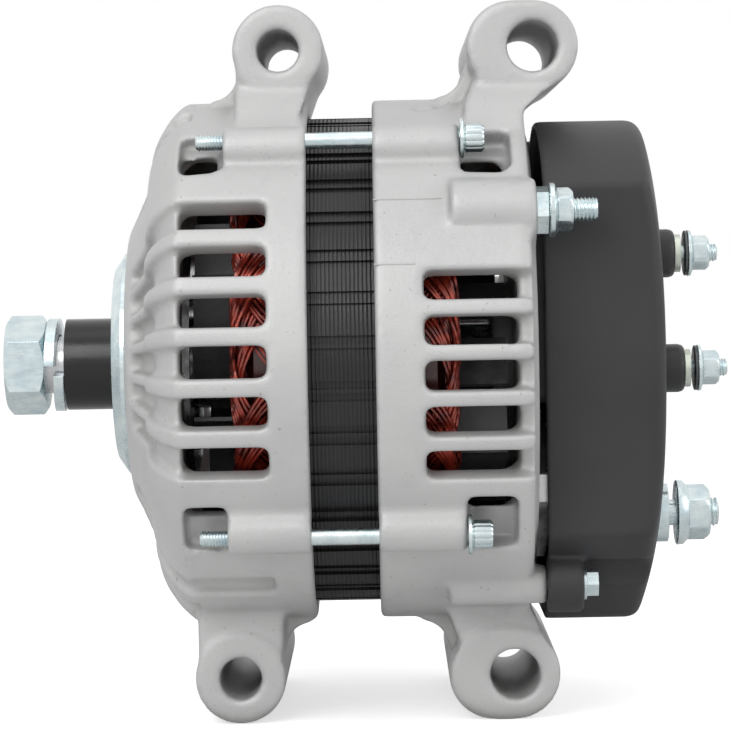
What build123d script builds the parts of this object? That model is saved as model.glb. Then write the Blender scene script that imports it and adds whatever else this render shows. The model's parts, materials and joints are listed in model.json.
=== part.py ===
from build123d import *
import math
import os

# Generator alternator head: a claw pole rotor turning in a stator that two cast housings clamp between them,
# with the rectifier, regulator and brushes under a moulded cover at the rear.
# Millimetres. The shaft runs along X with its nut at -X, the near side is -Y, and the lower ears stand on Z = 0.
# Places along the shaft are measured from the middle of the stator, places beside it from the shaft's centre line.

os.makedirs("parts", exist_ok=True)

# Clearances
seat_gap = 0.05
fit_gap = 0.02
running_gap = 0.06
air_gap = 0.5
thread_lead = 0.5

# Stator radius, from which the housings, bolts and cover take theirs
stator_r = 84.0
clamp_wall = 6.0
housing_r = stator_r + clamp_wall

# Mounting ears
ear_r = 15.5
ear_drop = housing_r + 17.0
ear_rise = housing_r + 16.0
ear_near = 34.0
ear_far = 74.0
ear_relief = 1.2
ear_chamfer = 0.8
front_ear_bore_r = 7.15
rear_top_bore_r = 8.65
rear_bottom_bore_r = 8.5
rear_ear_stretch = 7.0
front_top_ear_x = -20.4
front_bottom_ear_x = -37.2
rear_top_ear_x = 65.7
rear_bottom_ear_x = 56.3
arm_root = housing_r - 4.0
arm_flare = housing_r - 34.0
root_depth = 36.0
foot_r = 9.0
foot_half = 20.0
front_top_root = (-35.0, -13.0)
front_bottom_root = (-51.5, -22.0)
rear_top_root = (42.0, 62.0)
rear_bottom_root = (34.0, 62.0)
slope_rise = 4.0
slope_drop = 6.0
web_step = 26.0
web_depth = 40.0
far_slope = 8.0

# Stator
stator_bore_r = 58.0
stack_half = 19.0
stator_slots = 36
slot_width = 5.2
back_iron = 7.5
slot_depth_r = stator_r - back_iron
land_groove_width = 6.6
land_groove_depth = 1.2
land_ridge_width = 1.4
winding_r_in = stator_bore_r + 3.3
winding_r_out = slot_depth_r + 0.5
front_winding_reach = 37.0
rear_winding_reach = 39.0
winding_round = 5.0
winding_slot_gap = 0.2

# Housings
clamp_half = 10.9
shell_r_in = stator_r - 3.0
front_corner_x = -53.0
front_face_x = -65.3
front_face_r = housing_r - 26.0
hub_face_x = -73.7
hub_face_r = 45.6
rear_wall_x = 58.0
rear_face_x = 64.0
rear_rim_x = 62.3
rear_face_r = housing_r - 12.0
rim_round = 3.0
hollow_corner = 6.5
front_shoulder = (-61.3, 9.0)
front_edge = (-65.2, 4.0)
front_inner_corner_x = -48.0
front_inner_bend_x = -55.2
front_inner_wall = (-58.5, 2.0)
retainer_room = 5.0
rear_inner_corner_x = 52.0
rear_hub_wall = (6.0, 4.0)
rear_hub_hole_lip = 4.0
lug_boss_x = 34.0

# Cooling slots
front_slot_pitch = 10.8
front_slots = 6
front_slot_turn = 172.7
front_slot_width = 10.5
front_slot_x = (-52.3, -24.1)
front_groove_depth = 4.0
front_groove_r = 50.0
groove_start_x = -50.0
groove_bend = (-58.4, 10.6)
groove_edge_x = -61.2
groove_face = (-61.7, 1.7)
groove_hub_x = -67.3
cut_room = 6.0
cut_room_x = -80.0
cut_lift = 2.0
blind_slot_turn = 235.0
rear_groove_depth = 6.0
rear_slot_pitch = 9.6
rear_slots = 5
rear_slot_turn = 181.8
rear_slot_width = 9.6
rear_slot_x = (26.8, 57.3)
slot_corner_r = 2.0
air_windows = 8
air_window_r = 52.0
air_window_long = 22.0
air_window_wide = 14.0

# Through bolts
bolt_count = 4
bolt_turn = 36.5
bolt_r = 2.75
bolt_clearance = 2.85
opening_depth = 4.0
bolt_circle_r = stator_r + bolt_clearance + bolt_r
bolt_hole_r = 3.1
bolt_tip_x = -47.4
bolt_seat_x = 40.0
bolt_flange_r = 6.6
bolt_flange_thick = 1.6
bolt_head_r = 5.0
bolt_head_long = 8.0
bolt_boss_r = 7.5
bolt_boss_x = -38.4
boss_blend_r = 6.0
bolt_pocket_end_x = 56.5
bolt_recess = (-9.0, 12.0)
bolt_recess_floor = 0.3
bolt_opening = (4.0, 12.0)
bolt_window_end_x = -52.4
window_recess = (-8.0, 9.8)
window_floor = 1.9
window_opening = (3.5, 9.8)

# Shaft and bearings
front_bearing_bore_r = 12.5
front_bearing_r = 31.0
front_bearing_wide = 17.0
front_bearing_land_r = 18.0
rear_bearing_bore_r = 8.5
rear_bearing_r = 20.0
rear_bearing_wide = 12.0
rear_bearing_land_r = 12.2
bearing_lip = 2.2
rear_bearing_lip = 1.5
shoulder_r = 16.0
pole_bore_r = 14.0
rear_neck_r = 12.0
slip_seat_r = 7.0
shaft_tail_x = 96.0
thread_r = 10.0
thread_root_inset = 0.4
retainer_r = 40.0
retainer_thick = 2.5
retainer_screws = 4
retainer_screw_deep = 9.0
retainer_screw_circle_r = 35.5
retainer_screw_r = 2.5
retainer_head_r = 4.0
retainer_head_long = 2.4

# Rotor
rotor_r = stator_bore_r - air_gap
pole_half = 32.0
pole_plate = 16.0
pole_core_r = 27.0
claws = 6
claw_reach = 26.0
claw_tip_r = 53.0
claw_root_r = 44.5
claw_gap_root = 22.0
claw_gap_tip = 44.0
coil_r = 43.0
fan_r = 56.3
fan_plate = 1.6
fan_blades = 14
blade_long = 19.0
blade_thick = 1.5
blade_lean = 52.0
front_fan_reach = 50.0
rear_fan_reach = 45.0
slip_ring_r = 11.0
slip_sleeve_r = 8.5
slip_ring_wide = 8.0
slip_ring_x = (76.0, 88.0)

# Drive end
slinger_r = 38.5
slinger_x = -79.0
slinger_thick = 1.6
slinger_dish = 3.4
collar_r = 15.9
collar_long = 18.0
washer_r = 16.2
washer_bore_r = 10.5
washer_thick = 3.6
washer_spring = 3.4
nut_flats = 30.0
nut_long = 13.8
nut_chamfer = 1.6

# Rear cover and what it covers
cover_front_x = 67.0
cover_r = stator_r - 2.5
cover_depth = cover_r + 8.0
cover_skirt = 60.0
cover_flat = cover_r - 24.5
cover_wall = 2.5
cover_back_x = 109.6
cover_round = 5.0
# How far the back has fallen away at each distance inside or outside the cover's depth
cover_dome = [(1.6, -44.5), (4.4, -19.5), (10.1, 0.5), (13.6, 9.5)]
lug_boss_r = 6.5
lug_seat_x = 66.8
lug_r = 9.5
lug_top_x = 79.0
lug_pocket_r = 8.0
lug_circle_r = housing_r - 2.0
lug_turns = [238.5, 301.5, 50.0]
cover_screw_r = 2.5
cover_screw_depth_x = 54.0
cover_screw_head_r = 4.6
cover_screw_head_long = 5.0
terminal_y = -30.0
terminal_heights = [35.0, -4.0]
terminal_steps = [-2.9, 0.0]
terminal_stud_r = 3.0
terminal_pitch_r = 2.7
terminal_tip_x = 130.0
insulator_r = 8.2
insulator_end_x = 115.4
terminal_jam_r = 6.4
terminal_jam_thick = 2.0
terminal_nut_x = 119.7
terminal_flange_r = 7.85
terminal_flange_thick = 1.2
terminal_nut_flats = 10.0
terminal_nut_long = 7.4
output_y = -20.0
output_z = -54.0
output_stud_r = 5.0
output_pitch_r = 4.5
output_tip_x = 127.4
output_spacer_r = 10.0
output_spacer_end_x = 109.8
output_nut_x = 112.7
output_flange_r = 11.15
output_flange_thick = 2.4
output_nut_flats = 16.4
output_nut_long = 11.5
ground_circle_r = housing_r - 5.6
ground_turn = 143.67
ground_boss_r = 10.8
ground_boss_x = (36.0, 64.2)
ground_stud_r = 4.0
ground_pitch_r = 3.6
ground_tip_x = 84.5
ground_jam_flats = 14.0
ground_jam_thick = 3.9
ground_nut_x = 68.4
ground_flange_r = 9.0
ground_flange_thick = 1.7
ground_nut_flats = 12.6
ground_nut_long = 7.8
negative_plate_thick = 4.0
positive_plate_x = 78.0
positive_plate_thick = 4.0
plate_r = (30.0, 70.0)
plate_arc = (216.0, 324.0)
plate_flat = 52.0
diode_r = 6.4
diode_long = 7.0
diode_angles = [225.0, 277.0, 315.0]
diode_circle_r = 45.0
post_r = 4.5
post_angles = [226.0, 270.0, 318.0]
post_circle_r = 62.0
regulator_box = ((-50.0, -14.0), (-14.0, 48.0))
regulator_end_x = 86.0
brush_box_y = 11.0
brush_box_z = (14.0, 46.0)
brush_box_x = (64.0, 96.0)
brush_wide = 6.0
brush_deep = 10.0
brush_top = 31.0
brush_slot_top = 42.0
brush_spring_r = 2.4
brush_spring_wire = 0.8
brush_spring_turns = 4

# The frame: the origin lies on the floor under the middle of the overall length
nut_face_x = slinger_x - collar_long - washer_thick - washer_spring - nut_long
shaft_height = ear_drop + ear_r
mid_x = -(nut_face_x + terminal_tip_x) / 2
shaft_point = (mid_x, 0, shaft_height)
shaft_line = Axis(shaft_point, (1, 0, 0))
# Sketches on "side" have x along the shaft and y up; those on "across" have x towards the far side and y up
side = Plane(origin=shaft_point, x_dir=(1, 0, 0), z_dir=(0, -1, 0))
across = Plane(origin=shaft_point, x_dir=(0, 1, 0), z_dir=(1, 0, 0))


def around(radius, angle):
    """The y and z of a point at a radius and angle round the shaft."""
    return radius * math.cos(math.radians(angle)), radius * math.sin(math.radians(angle))


cover_screw_places = [around(lug_circle_r, turn) for turn in lug_turns]
ground_y, ground_z = around(ground_circle_r, ground_turn)


def outward(angle, x, radius):
    """A plane tangent to a cylinder round the shaft, facing outward, with its x along the shaft."""
    y_part = math.cos(math.radians(angle))
    z_part = math.sin(math.radians(angle))
    place = (mid_x + x, radius * y_part, shaft_height + radius * z_part)
    return Plane(origin=place, x_dir=(1, 0, 0), z_dir=(0, y_part, z_part))


def lengthwise(angle):
    """A plane through the shaft's line, with x along the shaft and y outward at this angle."""
    y_part = math.cos(math.radians(angle))
    z_part = math.sin(math.radians(angle))
    return Plane(origin=shaft_point, x_dir=(1, 0, 0), z_dir=(0, -z_part, y_part))


def ring(x_start, x_end, r_out, r_in):
    """A plain ring round the shaft."""
    with BuildPart() as turned:
        with BuildSketch(across.offset(x_start)):
            Circle(r_out)
            Circle(r_in, mode=Mode.SUBTRACT)
        extrude(amount=x_end - x_start)
    return turned


def flange_nut(x, y, z, bore_r, flats, flange_r, flange_thick, length):
    """A hexagon nut with a round flange at its seat, its corners pointing up and down."""
    with BuildPart() as nut:
        with BuildSketch(across.offset(x)):
            with Locations((y, z)):
                Circle(flange_r)
        extrude(amount=flange_thick, taper=20)
        with BuildSketch(across.offset(x + flange_thick)):
            with Locations((y, z)):
                RegularPolygon(flats / 2, 6, major_radius=False, rotation=30)
        extrude(amount=length - flange_thick)
        with BuildSketch(across.offset(x)):
            with Locations((y, z)):
                Circle(bore_r)
        extrude(amount=length, mode=Mode.SUBTRACT)
    return nut


def threaded_stud(place, nut_x, full_r, pitch_r, root_x, tip_x):
    """A stud, drawn at its pitch radius inside the nut and at its full radius before and beyond it."""
    beyond = nut_x[1] + thread_lead
    with BuildPart() as stud:
        stretches = [(root_x, nut_x[0], full_r), (nut_x[0], beyond, pitch_r), (beyond, tip_x, full_r)]
        for start, end, radius in stretches:
            with BuildSketch(across.offset(start)):
                with Locations(place):
                    Circle(radius)
            extrude(amount=end - start)
    return stud


def mounting_arm(bore_x, bore_z, root_x, stretch, foot_side):
    """An ear with its arm: a long boss across the machine on a web with a hollowed foot on one side."""
    up = math.copysign(1, bore_z)
    # Above, the web's near side slopes down to the housing; below, it drops straight to it
    slope_top = housing_r + slope_rise if up > 0 else housing_r - slope_drop
    reach = ear_drop + 2 * ear_r
    root_mid = (root_x[0] + root_x[1]) / 2
    root_wide = root_x[1] - root_x[0]
    with BuildPart() as web:
        with BuildSketch(side.offset(arm_flare)):
            with Locations((bore_x, bore_z)):
                Circle(ear_r - ear_relief)
            with Locations((root_mid, up * (arm_root - 1))):
                Rectangle(root_wide, 2)
            make_hull()
            with Locations((root_mid, up * (arm_root - root_depth / 2))):
                Rectangle(root_wide, root_depth)
        extrude(amount=-(arm_flare + ear_far - ear_relief))
        with BuildSketch(across.offset(bore_x - 2 * housing_r)):
            with BuildLine():
                Polyline(
                    (ear_relief - ear_near, up * reach),
                    (ear_relief - ear_near, up * slope_top),
                    (-arm_flare, up * (housing_r - web_step)),
                    (-arm_flare, up * (housing_r - web_depth)),
                    (ear_far - far_slope, up * (housing_r - web_depth)),
                    (ear_far - ear_relief, up * (housing_r + slope_rise)),
                    (ear_far - ear_relief, up * reach),
                    close=True,
                )
            make_face()
        extrude(amount=4 * housing_r, mode=Mode.INTERSECT)
        foot_x = root_x[0] if foot_side < 0 else root_x[1]
        with BuildSketch(side.offset(foot_half)):
            with Locations((foot_x, up * housing_r)):
                Rectangle(2 * foot_r, 2 * foot_r)
            with Locations((foot_x + foot_side * foot_r, up * (housing_r + foot_r))):
                Circle(foot_r, mode=Mode.SUBTRACT)
        extrude(amount=-2 * foot_half)
    with BuildPart() as arm:
        with BuildSketch(side.offset(ear_near)):
            with Locations((bore_x - stretch / 2, bore_z)):
                if stretch > 0:
                    SlotCenterToCenter(stretch, 2 * ear_r)
                else:
                    Circle(ear_r)
        extrude(amount=-(ear_near + ear_far))
        add(web.part)
    return arm.part


def bolt_bosses(x_start, x_end):
    """The bosses round the through bolts, with hollowed roots on a disc just under the housing's surface."""
    disc_r = housing_r - fit_gap
    with BuildPart() as bosses:
        with BuildSketch(across.offset(x_start)) as outline:
            Circle(disc_r)
            with PolarLocations(bolt_circle_r, bolt_count, start_angle=bolt_turn):
                Circle(bolt_boss_r)
            roots = []
            for corner in outline.vertices():
                from_shaft = math.hypot(corner.Y, corner.Z - shaft_height)
                turn = math.degrees(math.atan2(corner.Z - shaft_height, corner.Y))
                if abs(from_shaft - disc_r) < fit_gap and abs((turn - bolt_turn + 45) % 90 - 45) < 10:
                    roots.append(corner)
            fillet(roots, boss_blend_r)
        extrude(amount=x_end - x_start)
    return bosses.part


def towards_near_or_far(corner):
    """Which way round the shaft a through bolt's pocket opens: to the near side or the far side."""
    return -1 if corner % 2 == 0 else 1


def bolt_pocket(corner, x_span, across_span, floor_r):
    """A rounded pocket beside a through bolt, its span measured round the shaft from the bolt."""
    middle = (across_span[0] + across_span[1]) / 2
    turn = bolt_turn + 90 * corner + towards_near_or_far(corner) * math.degrees(middle / bolt_circle_r)
    top_r = bolt_circle_r + 2 * bolt_boss_r
    with BuildPart() as pocket:
        with BuildSketch(outward(turn, (x_span[0] + x_span[1]) / 2, top_r)):
            RectangleRounded(x_span[1] - x_span[0], across_span[1] - across_span[0], slot_corner_r)
        extrude(amount=floor_r - top_r)
    return pocket.part


# Drive end housing: slotted shell, bearing hub, bolt bosses and two ears
front_bosses = bolt_bosses(bolt_boss_x, -clamp_half)
front_windows = []
for corner in range(bolt_count):
    window_x = (bolt_window_end_x, bolt_boss_x)
    front_windows.append(bolt_pocket(corner, window_x, window_recess, bolt_circle_r - bolt_r - window_floor))
    front_windows.append(bolt_pocket(corner, window_x, window_opening, shell_r_in - opening_depth))
front_top_arm = mounting_arm(front_top_ear_x, ear_rise, front_top_root, 0, -1)
front_bottom_arm = mounting_arm(front_bottom_ear_x, -ear_drop, front_bottom_root, 0, 1)
front_bearing_x = hub_face_x + bearing_lip
hub_inner_x = front_bearing_x + front_bearing_wide
front_slot_mid = (front_slot_x[0] + front_slot_x[1]) / 2

with BuildPart() as drive_end_housing:
    with BuildSketch(side):
        with BuildLine():
            Polyline((-clamp_half, 0), (-clamp_half, housing_r), (front_corner_x, housing_r))
            shoulder = (front_shoulder[0], housing_r - front_shoulder[1])
            edge = (front_edge[0], front_face_r + front_edge[1])
            ThreePointArc((front_corner_x, housing_r), shoulder, edge)
            Polyline(edge, (front_face_x, front_face_r), (hub_face_x, hub_face_r))
            Line((hub_face_x, hub_face_r), (hub_face_x, 0))
            Line((hub_face_x, 0), (-clamp_half, 0))
        make_face()
    revolve(axis=shaft_line)
    add(front_top_arm)
    add(front_bottom_arm)
    add(front_bosses)
    with BuildSketch(across.offset(-clamp_half)):
        Circle(housing_r + 1)
    extrude(amount=clamp_half, mode=Mode.SUBTRACT)
    # The hollow inside, with the seat that centres the stator
    with BuildSketch(side):
        with BuildLine():
            Polyline((-clamp_half, 0), (-clamp_half, stator_r + seat_gap), (-stack_half, stator_r + seat_gap))
            corner_start = (front_inner_corner_x, shell_r_in)
            wall_top = (front_inner_wall[0], front_face_r + front_inner_wall[1])
            Polyline((-stack_half, stator_r + seat_gap), (-stack_half, shell_r_in), corner_start)
            ThreePointArc(corner_start, (front_inner_bend_x, shell_r_in - hollow_corner), wall_top)
            Polyline(wall_top, (front_inner_wall[0], retainer_r + retainer_room), (hub_inner_x, retainer_r))
            Line((hub_inner_x, retainer_r), (hub_inner_x, 0))
            Line((hub_inner_x, 0), (-clamp_half, 0))
        make_face()
    revolve(axis=shaft_line, mode=Mode.SUBTRACT)
    with BuildSketch(across.offset(front_bearing_x)):
        Circle(front_bearing_r + fit_gap)
    extrude(amount=front_bearing_wide, mode=Mode.SUBTRACT)
    with BuildSketch(across.offset(hub_face_x)):
        Circle(front_bearing_r - bearing_lip)
    extrude(amount=bearing_lip, mode=Mode.SUBTRACT)
    # Cooling slots on the near and far sides, and a groove from each over the corner to the front face
    for quarter in range(4):
        for place in range(front_slots):
            angle = front_slot_turn + 90 * quarter + front_slot_pitch * (place - (front_slots - 1) / 2)
            if quarter % 2 == 0:
                with BuildSketch(outward(angle, front_slot_mid, housing_r + cut_lift)):
                    RectangleRounded(front_slot_x[1] - front_slot_x[0], front_slot_width, slot_corner_r)
    extrude(amount=-(housing_r + cut_lift - shell_r_in + cut_room), mode=Mode.SUBTRACT)
    groove_turn = math.degrees(front_slot_width / housing_r)
    for quarter in range(4):
        for place in range(front_slots):
            angle = front_slot_turn + 90 * quarter + front_slot_pitch * (place - (front_slots - 1) / 2)
            with BuildSketch(lengthwise(angle - groove_turn / 2)):
                with BuildLine():
                    groove_top = housing_r + cut_room
                    groove_floor = housing_r - front_groove_depth
                    groove_edge = (groove_edge_x, front_face_r + front_edge[1])
                    face_start = (groove_face[0], front_face_r - groove_face[1])
                    Polyline((groove_start_x, groove_top), (groove_start_x, groove_floor))
                    Line((groove_start_x, groove_floor), (front_corner_x, groove_floor))
                    bend = (groove_bend[0], housing_r - groove_bend[1])
                    ThreePointArc((front_corner_x, groove_floor), bend, groove_edge)
                    Line(groove_edge, face_start)
                    Polyline(face_start, (groove_hub_x, front_groove_r), (cut_room_x, front_groove_r))
                    Polyline((cut_room_x, front_groove_r), (cut_room_x, groove_top), (groove_start_x, groove_top))
                make_face()
    revolve(axis=shaft_line, revolution_arc=groove_turn, mode=Mode.SUBTRACT)
    # Windows over the ends of the through bolts, the bolt holes, the retainer's screw holes and the ear bores
    for window in front_windows:
        add(window, mode=Mode.SUBTRACT)
    # A blind slot low on the near side, which goes no deeper than the grooves
    with BuildSketch(outward(blind_slot_turn, front_slot_mid, housing_r + cut_lift)):
        RectangleRounded(front_slot_x[1] - front_slot_x[0], front_slot_width, slot_corner_r)
    extrude(amount=-(cut_lift + front_groove_depth), mode=Mode.SUBTRACT)
    with BuildSketch(across.offset(bolt_tip_x)):
        with PolarLocations(bolt_circle_r, bolt_count, start_angle=bolt_turn):
            Circle(bolt_r + fit_gap)
    extrude(amount=-clamp_half - bolt_tip_x, mode=Mode.SUBTRACT)
    with BuildSketch(across.offset(hub_inner_x)):
        with PolarLocations(retainer_screw_circle_r, retainer_screws, start_angle=45):
            Circle(retainer_screw_r + fit_gap)
    extrude(amount=-retainer_screw_deep, mode=Mode.SUBTRACT)
    with BuildSketch(side.offset(ear_near)):
        with Locations((front_top_ear_x, ear_rise), (front_bottom_ear_x, -ear_drop)):
            Circle(front_ear_bore_r)
    extrude(amount=-(ear_near + ear_far), mode=Mode.SUBTRACT)
    bore_edges = drive_end_housing.edges().filter_by(GeomType.CIRCLE)
    chamfer([e for e in bore_edges if abs(e.radius - front_ear_bore_r) < 0.01], ear_chamfer)
drive_end_housing.part.label = "drive_end_housing"
export_step(drive_end_housing.part, "parts/drive_end_housing.step")

# Rear housing: slotted shell with the rear bearing hub, bosses for the cover and the ground stud, and two ears
rear_top_arm = mounting_arm(rear_top_ear_x, ear_rise, rear_top_root, rear_ear_stretch, -1)
rear_bottom_arm = mounting_arm(rear_bottom_ear_x, -ear_drop, rear_bottom_root, rear_ear_stretch, -1)
rear_bearing_x = rear_face_x - rear_bearing_lip - rear_bearing_wide

rear_bosses = bolt_bosses(clamp_half, bolt_seat_x)
rear_pockets = []
for corner in range(bolt_count):
    pocket_x = (bolt_seat_x, bolt_pocket_end_x)
    pocket_floor = bolt_circle_r - bolt_flange_r - bolt_recess_floor
    rear_pockets.append(bolt_pocket(corner, pocket_x, bolt_recess, pocket_floor))
    rear_pockets.append(bolt_pocket(corner, pocket_x, bolt_opening, shell_r_in - opening_depth))

with BuildPart() as rear_housing:
    with BuildSketch(side):
        with BuildLine():
            Polyline((clamp_half, 0), (clamp_half, housing_r), (rear_rim_x - rim_round, housing_r))
            JernArc((rear_rim_x - rim_round, housing_r), (1, 0), rim_round, -90)
            Line((rear_rim_x, housing_r - rim_round), (rear_rim_x, rear_face_r + 2))
            Line((rear_rim_x, rear_face_r + 2), (rear_face_x, rear_face_r))
            Polyline((rear_face_x, rear_face_r), (rear_face_x, 0), (clamp_half, 0))
        make_face()
    revolve(axis=shaft_line)
    add(rear_top_arm)
    add(rear_bottom_arm)
    with BuildSketch(across.offset(ground_boss_x[0])):
        with Locations((ground_y, ground_z)):
            Circle(ground_boss_r)
    extrude(amount=ground_boss_x[1] - ground_boss_x[0])
    with BuildSketch(across.offset(lug_boss_x)):
        with Locations(*cover_screw_places):
            Circle(lug_boss_r)
    extrude(amount=lug_seat_x - lug_boss_x)
    add(rear_bosses)
    with BuildSketch(side):
        with BuildLine():
            Polyline(
                (clamp_half, 0),
                (clamp_half, stator_r + seat_gap),
                (stack_half, stator_r + seat_gap),
                (stack_half, shell_r_in),
                (rear_inner_corner_x, shell_r_in),
                (rear_wall_x, shell_r_in - hollow_corner),
                (rear_wall_x, rear_bearing_r + rear_hub_wall[0]),
                (rear_bearing_x, rear_bearing_r + rear_hub_wall[1]),
                (rear_bearing_x, 0),
                close=True,
            )
        make_face()
    revolve(axis=shaft_line, mode=Mode.SUBTRACT)
    with BuildSketch(across.offset(rear_bearing_x)):
        Circle(rear_bearing_r + fit_gap)
    extrude(amount=rear_bearing_wide, mode=Mode.SUBTRACT)
    with BuildSketch(across.offset(rear_face_x)):
        Circle(rear_bearing_r - rear_hub_hole_lip)
    extrude(amount=-rear_bearing_lip, mode=Mode.SUBTRACT)
    for quarter in (0, 2):
        for place in range(rear_slots):
            angle = rear_slot_turn + 90 * quarter + rear_slot_pitch * (place - (rear_slots - 1) / 2)
            with BuildSketch(outward(angle, (rear_slot_x[0] + rear_slot_x[1]) / 2, housing_r + 2)):
                RectangleRounded(rear_slot_x[1] - rear_slot_x[0], rear_slot_width, slot_corner_r)
    extrude(amount=-(housing_r + 2 - shell_r_in + 6), mode=Mode.SUBTRACT)
    # Grooves that carry the slots on to the rim, so that bars stand between them
    rear_groove_turn = math.degrees(rear_slot_width / housing_r)
    for quarter in (0, 2):
        for place in range(rear_slots):
            angle = rear_slot_turn + 90 * quarter + rear_slot_pitch * (place - (rear_slots - 1) / 2)
            with BuildSketch(lengthwise(angle - rear_groove_turn / 2)):
                with Locations(((rear_slot_x[1] + rear_face_x) / 2, housing_r)):
                    Rectangle(rear_face_x - rear_slot_x[1] + 4, 2 * rear_groove_depth)
    revolve(axis=shaft_line, revolution_arc=rear_groove_turn, mode=Mode.SUBTRACT)
    # Pockets for the heads of the through bolts
    for pocket in rear_pockets:
        add(pocket, mode=Mode.SUBTRACT)
    with BuildSketch(across.offset(clamp_half)):
        with PolarLocations(bolt_circle_r, bolt_count, start_angle=bolt_turn):
            Circle(bolt_hole_r)
    extrude(amount=bolt_seat_x - clamp_half, mode=Mode.SUBTRACT)
    # Air intake windows in the rear wall, round the bearing hub
    with BuildSketch(across.offset(rear_wall_x)):
        with PolarLocations(air_window_r, air_windows, start_angle=360 / air_windows / 2):
            RectangleRounded(air_window_long, air_window_wide, slot_corner_r)
    extrude(amount=rear_face_x - rear_wall_x, mode=Mode.SUBTRACT)
    with BuildSketch(across.offset(lug_seat_x)):
        with Locations(*cover_screw_places):
            Circle(cover_screw_r + fit_gap)
    extrude(amount=cover_screw_depth_x - lug_seat_x, mode=Mode.SUBTRACT)
    with BuildSketch(across.offset(ground_boss_x[1])):
        with Locations((ground_y, ground_z)):
            Circle(ground_stud_r + fit_gap)
    extrude(amount=-12, mode=Mode.SUBTRACT)
    with BuildSketch(side.offset(ear_near)):
        with Locations((rear_top_ear_x, ear_rise)):
            Circle(rear_top_bore_r)
        with Locations((rear_bottom_ear_x, -ear_drop)):
            Circle(rear_bottom_bore_r)
    extrude(amount=-(ear_near + ear_far), mode=Mode.SUBTRACT)
    bore_edges = rear_housing.edges().filter_by(GeomType.CIRCLE)
    ear_radii = (rear_top_bore_r, rear_bottom_bore_r)
    chamfer([e for e in bore_edges if min(abs(e.radius - r) for r in ear_radii) < 0.01], ear_chamfer)
rear_housing.part.label = "rear_housing"
export_step(rear_housing.part, "parts/rear_housing.step")

# Stator: laminated core with slots inside and stepped grooves outside, and its winding
with BuildPart() as stator_core:
    with BuildSketch(across.offset(-stack_half)):
        Circle(stator_r)
        Circle(stator_bore_r, mode=Mode.SUBTRACT)
        slot_mid_r = (stator_bore_r + slot_depth_r) / 2
        with PolarLocations(slot_mid_r - 1, stator_slots):
            Rectangle(slot_depth_r - stator_bore_r + 2, slot_width, mode=Mode.SUBTRACT)
        with PolarLocations(stator_r, stator_slots, start_angle=180 / stator_slots):
            Rectangle(2 * land_groove_depth, land_groove_width, mode=Mode.SUBTRACT)
        with PolarLocations(stator_r - land_groove_depth, stator_slots, start_angle=180 / stator_slots):
            Rectangle(1.6 * land_groove_depth, land_ridge_width)
    extrude(amount=2 * stack_half)
stator_core.part.label = "stator_core"
export_step(stator_core.part, "parts/stator_core.step")

with BuildPart() as stator_winding:
    with BuildSketch(side):
        for start, end in ((-front_winding_reach, -stack_half), (stack_half, rear_winding_reach)):
            lift = winding_slot_gap if start > 0 else 0
            drop = winding_slot_gap if start < 0 else 0
            with Locations(((start + lift + end - drop) / 2, (winding_r_in + winding_r_out) / 2)):
                Rectangle(end - start - winding_slot_gap, winding_r_out - winding_r_in)
    revolve(axis=shaft_line)
    end_edges = stator_winding.edges().filter_by(GeomType.CIRCLE)
    reaches = (mid_x - front_winding_reach, mid_x + rear_winding_reach)
    fillet([e for e in end_edges if min(abs(e.arc_center.X - x) for x in reaches) < 0.01], winding_round)
    with BuildSketch(across.offset(-stack_half - 1)):
        bar_r_in = winding_r_in + 0.6
        bar_r_out = slot_depth_r - winding_slot_gap
        with PolarLocations((bar_r_in + bar_r_out) / 2, stator_slots):
            Rectangle(bar_r_out - bar_r_in, slot_width - 2 * winding_slot_gap)
    extrude(amount=2 * stack_half + 2)
stator_winding.part.label = "stator_winding"
export_step(stator_winding.part, "parts/stator_winding.step")

# Through bolts, threaded into the drive end housing, their flanged heads in the rear housing's pockets
with BuildPart() as through_bolts:
    with BuildSketch(across.offset(bolt_tip_x)):
        with PolarLocations(bolt_circle_r, bolt_count, start_angle=bolt_turn):
            Circle(bolt_r)
    extrude(amount=bolt_seat_x - bolt_tip_x)
    with BuildSketch(across.offset(bolt_seat_x)):
        with PolarLocations(bolt_circle_r, bolt_count, start_angle=bolt_turn):
            Circle(bolt_flange_r)
    extrude(amount=bolt_flange_thick)
    with BuildSketch(across.offset(bolt_seat_x)):
        with PolarLocations(bolt_circle_r, bolt_count, start_angle=bolt_turn):
            RegularPolygon(bolt_head_r, 6)
    extrude(amount=bolt_head_long)
through_bolts.part.label = "through_bolts"
export_step(through_bolts.part, "parts/through_bolts.step")

# Bearings, each an outer ring with its seals and an inner ring
front_bearing_outer = ring(
    front_bearing_x, hub_inner_x, front_bearing_r, front_bearing_land_r + running_gap
)
front_bearing_outer.part.label = "front_bearing_outer"
export_step(front_bearing_outer.part, "parts/front_bearing_outer.step")
front_bearing_inner = ring(
    front_bearing_x, hub_inner_x, front_bearing_land_r, front_bearing_bore_r + fit_gap
)
front_bearing_inner.part.label = "front_bearing_inner"
export_step(front_bearing_inner.part, "parts/front_bearing_inner.step")
rear_bearing_end = rear_bearing_x + rear_bearing_wide
rear_bearing_outer = ring(
    rear_bearing_x, rear_bearing_end, rear_bearing_r, rear_bearing_land_r + running_gap
)
rear_bearing_outer.part.label = "rear_bearing_outer"
export_step(rear_bearing_outer.part, "parts/rear_bearing_outer.step")
rear_bearing_inner = ring(
    rear_bearing_x, rear_bearing_end, rear_bearing_land_r, rear_bearing_bore_r + fit_gap
)
rear_bearing_inner.part.label = "rear_bearing_inner"
export_step(rear_bearing_inner.part, "parts/rear_bearing_inner.step")

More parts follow.
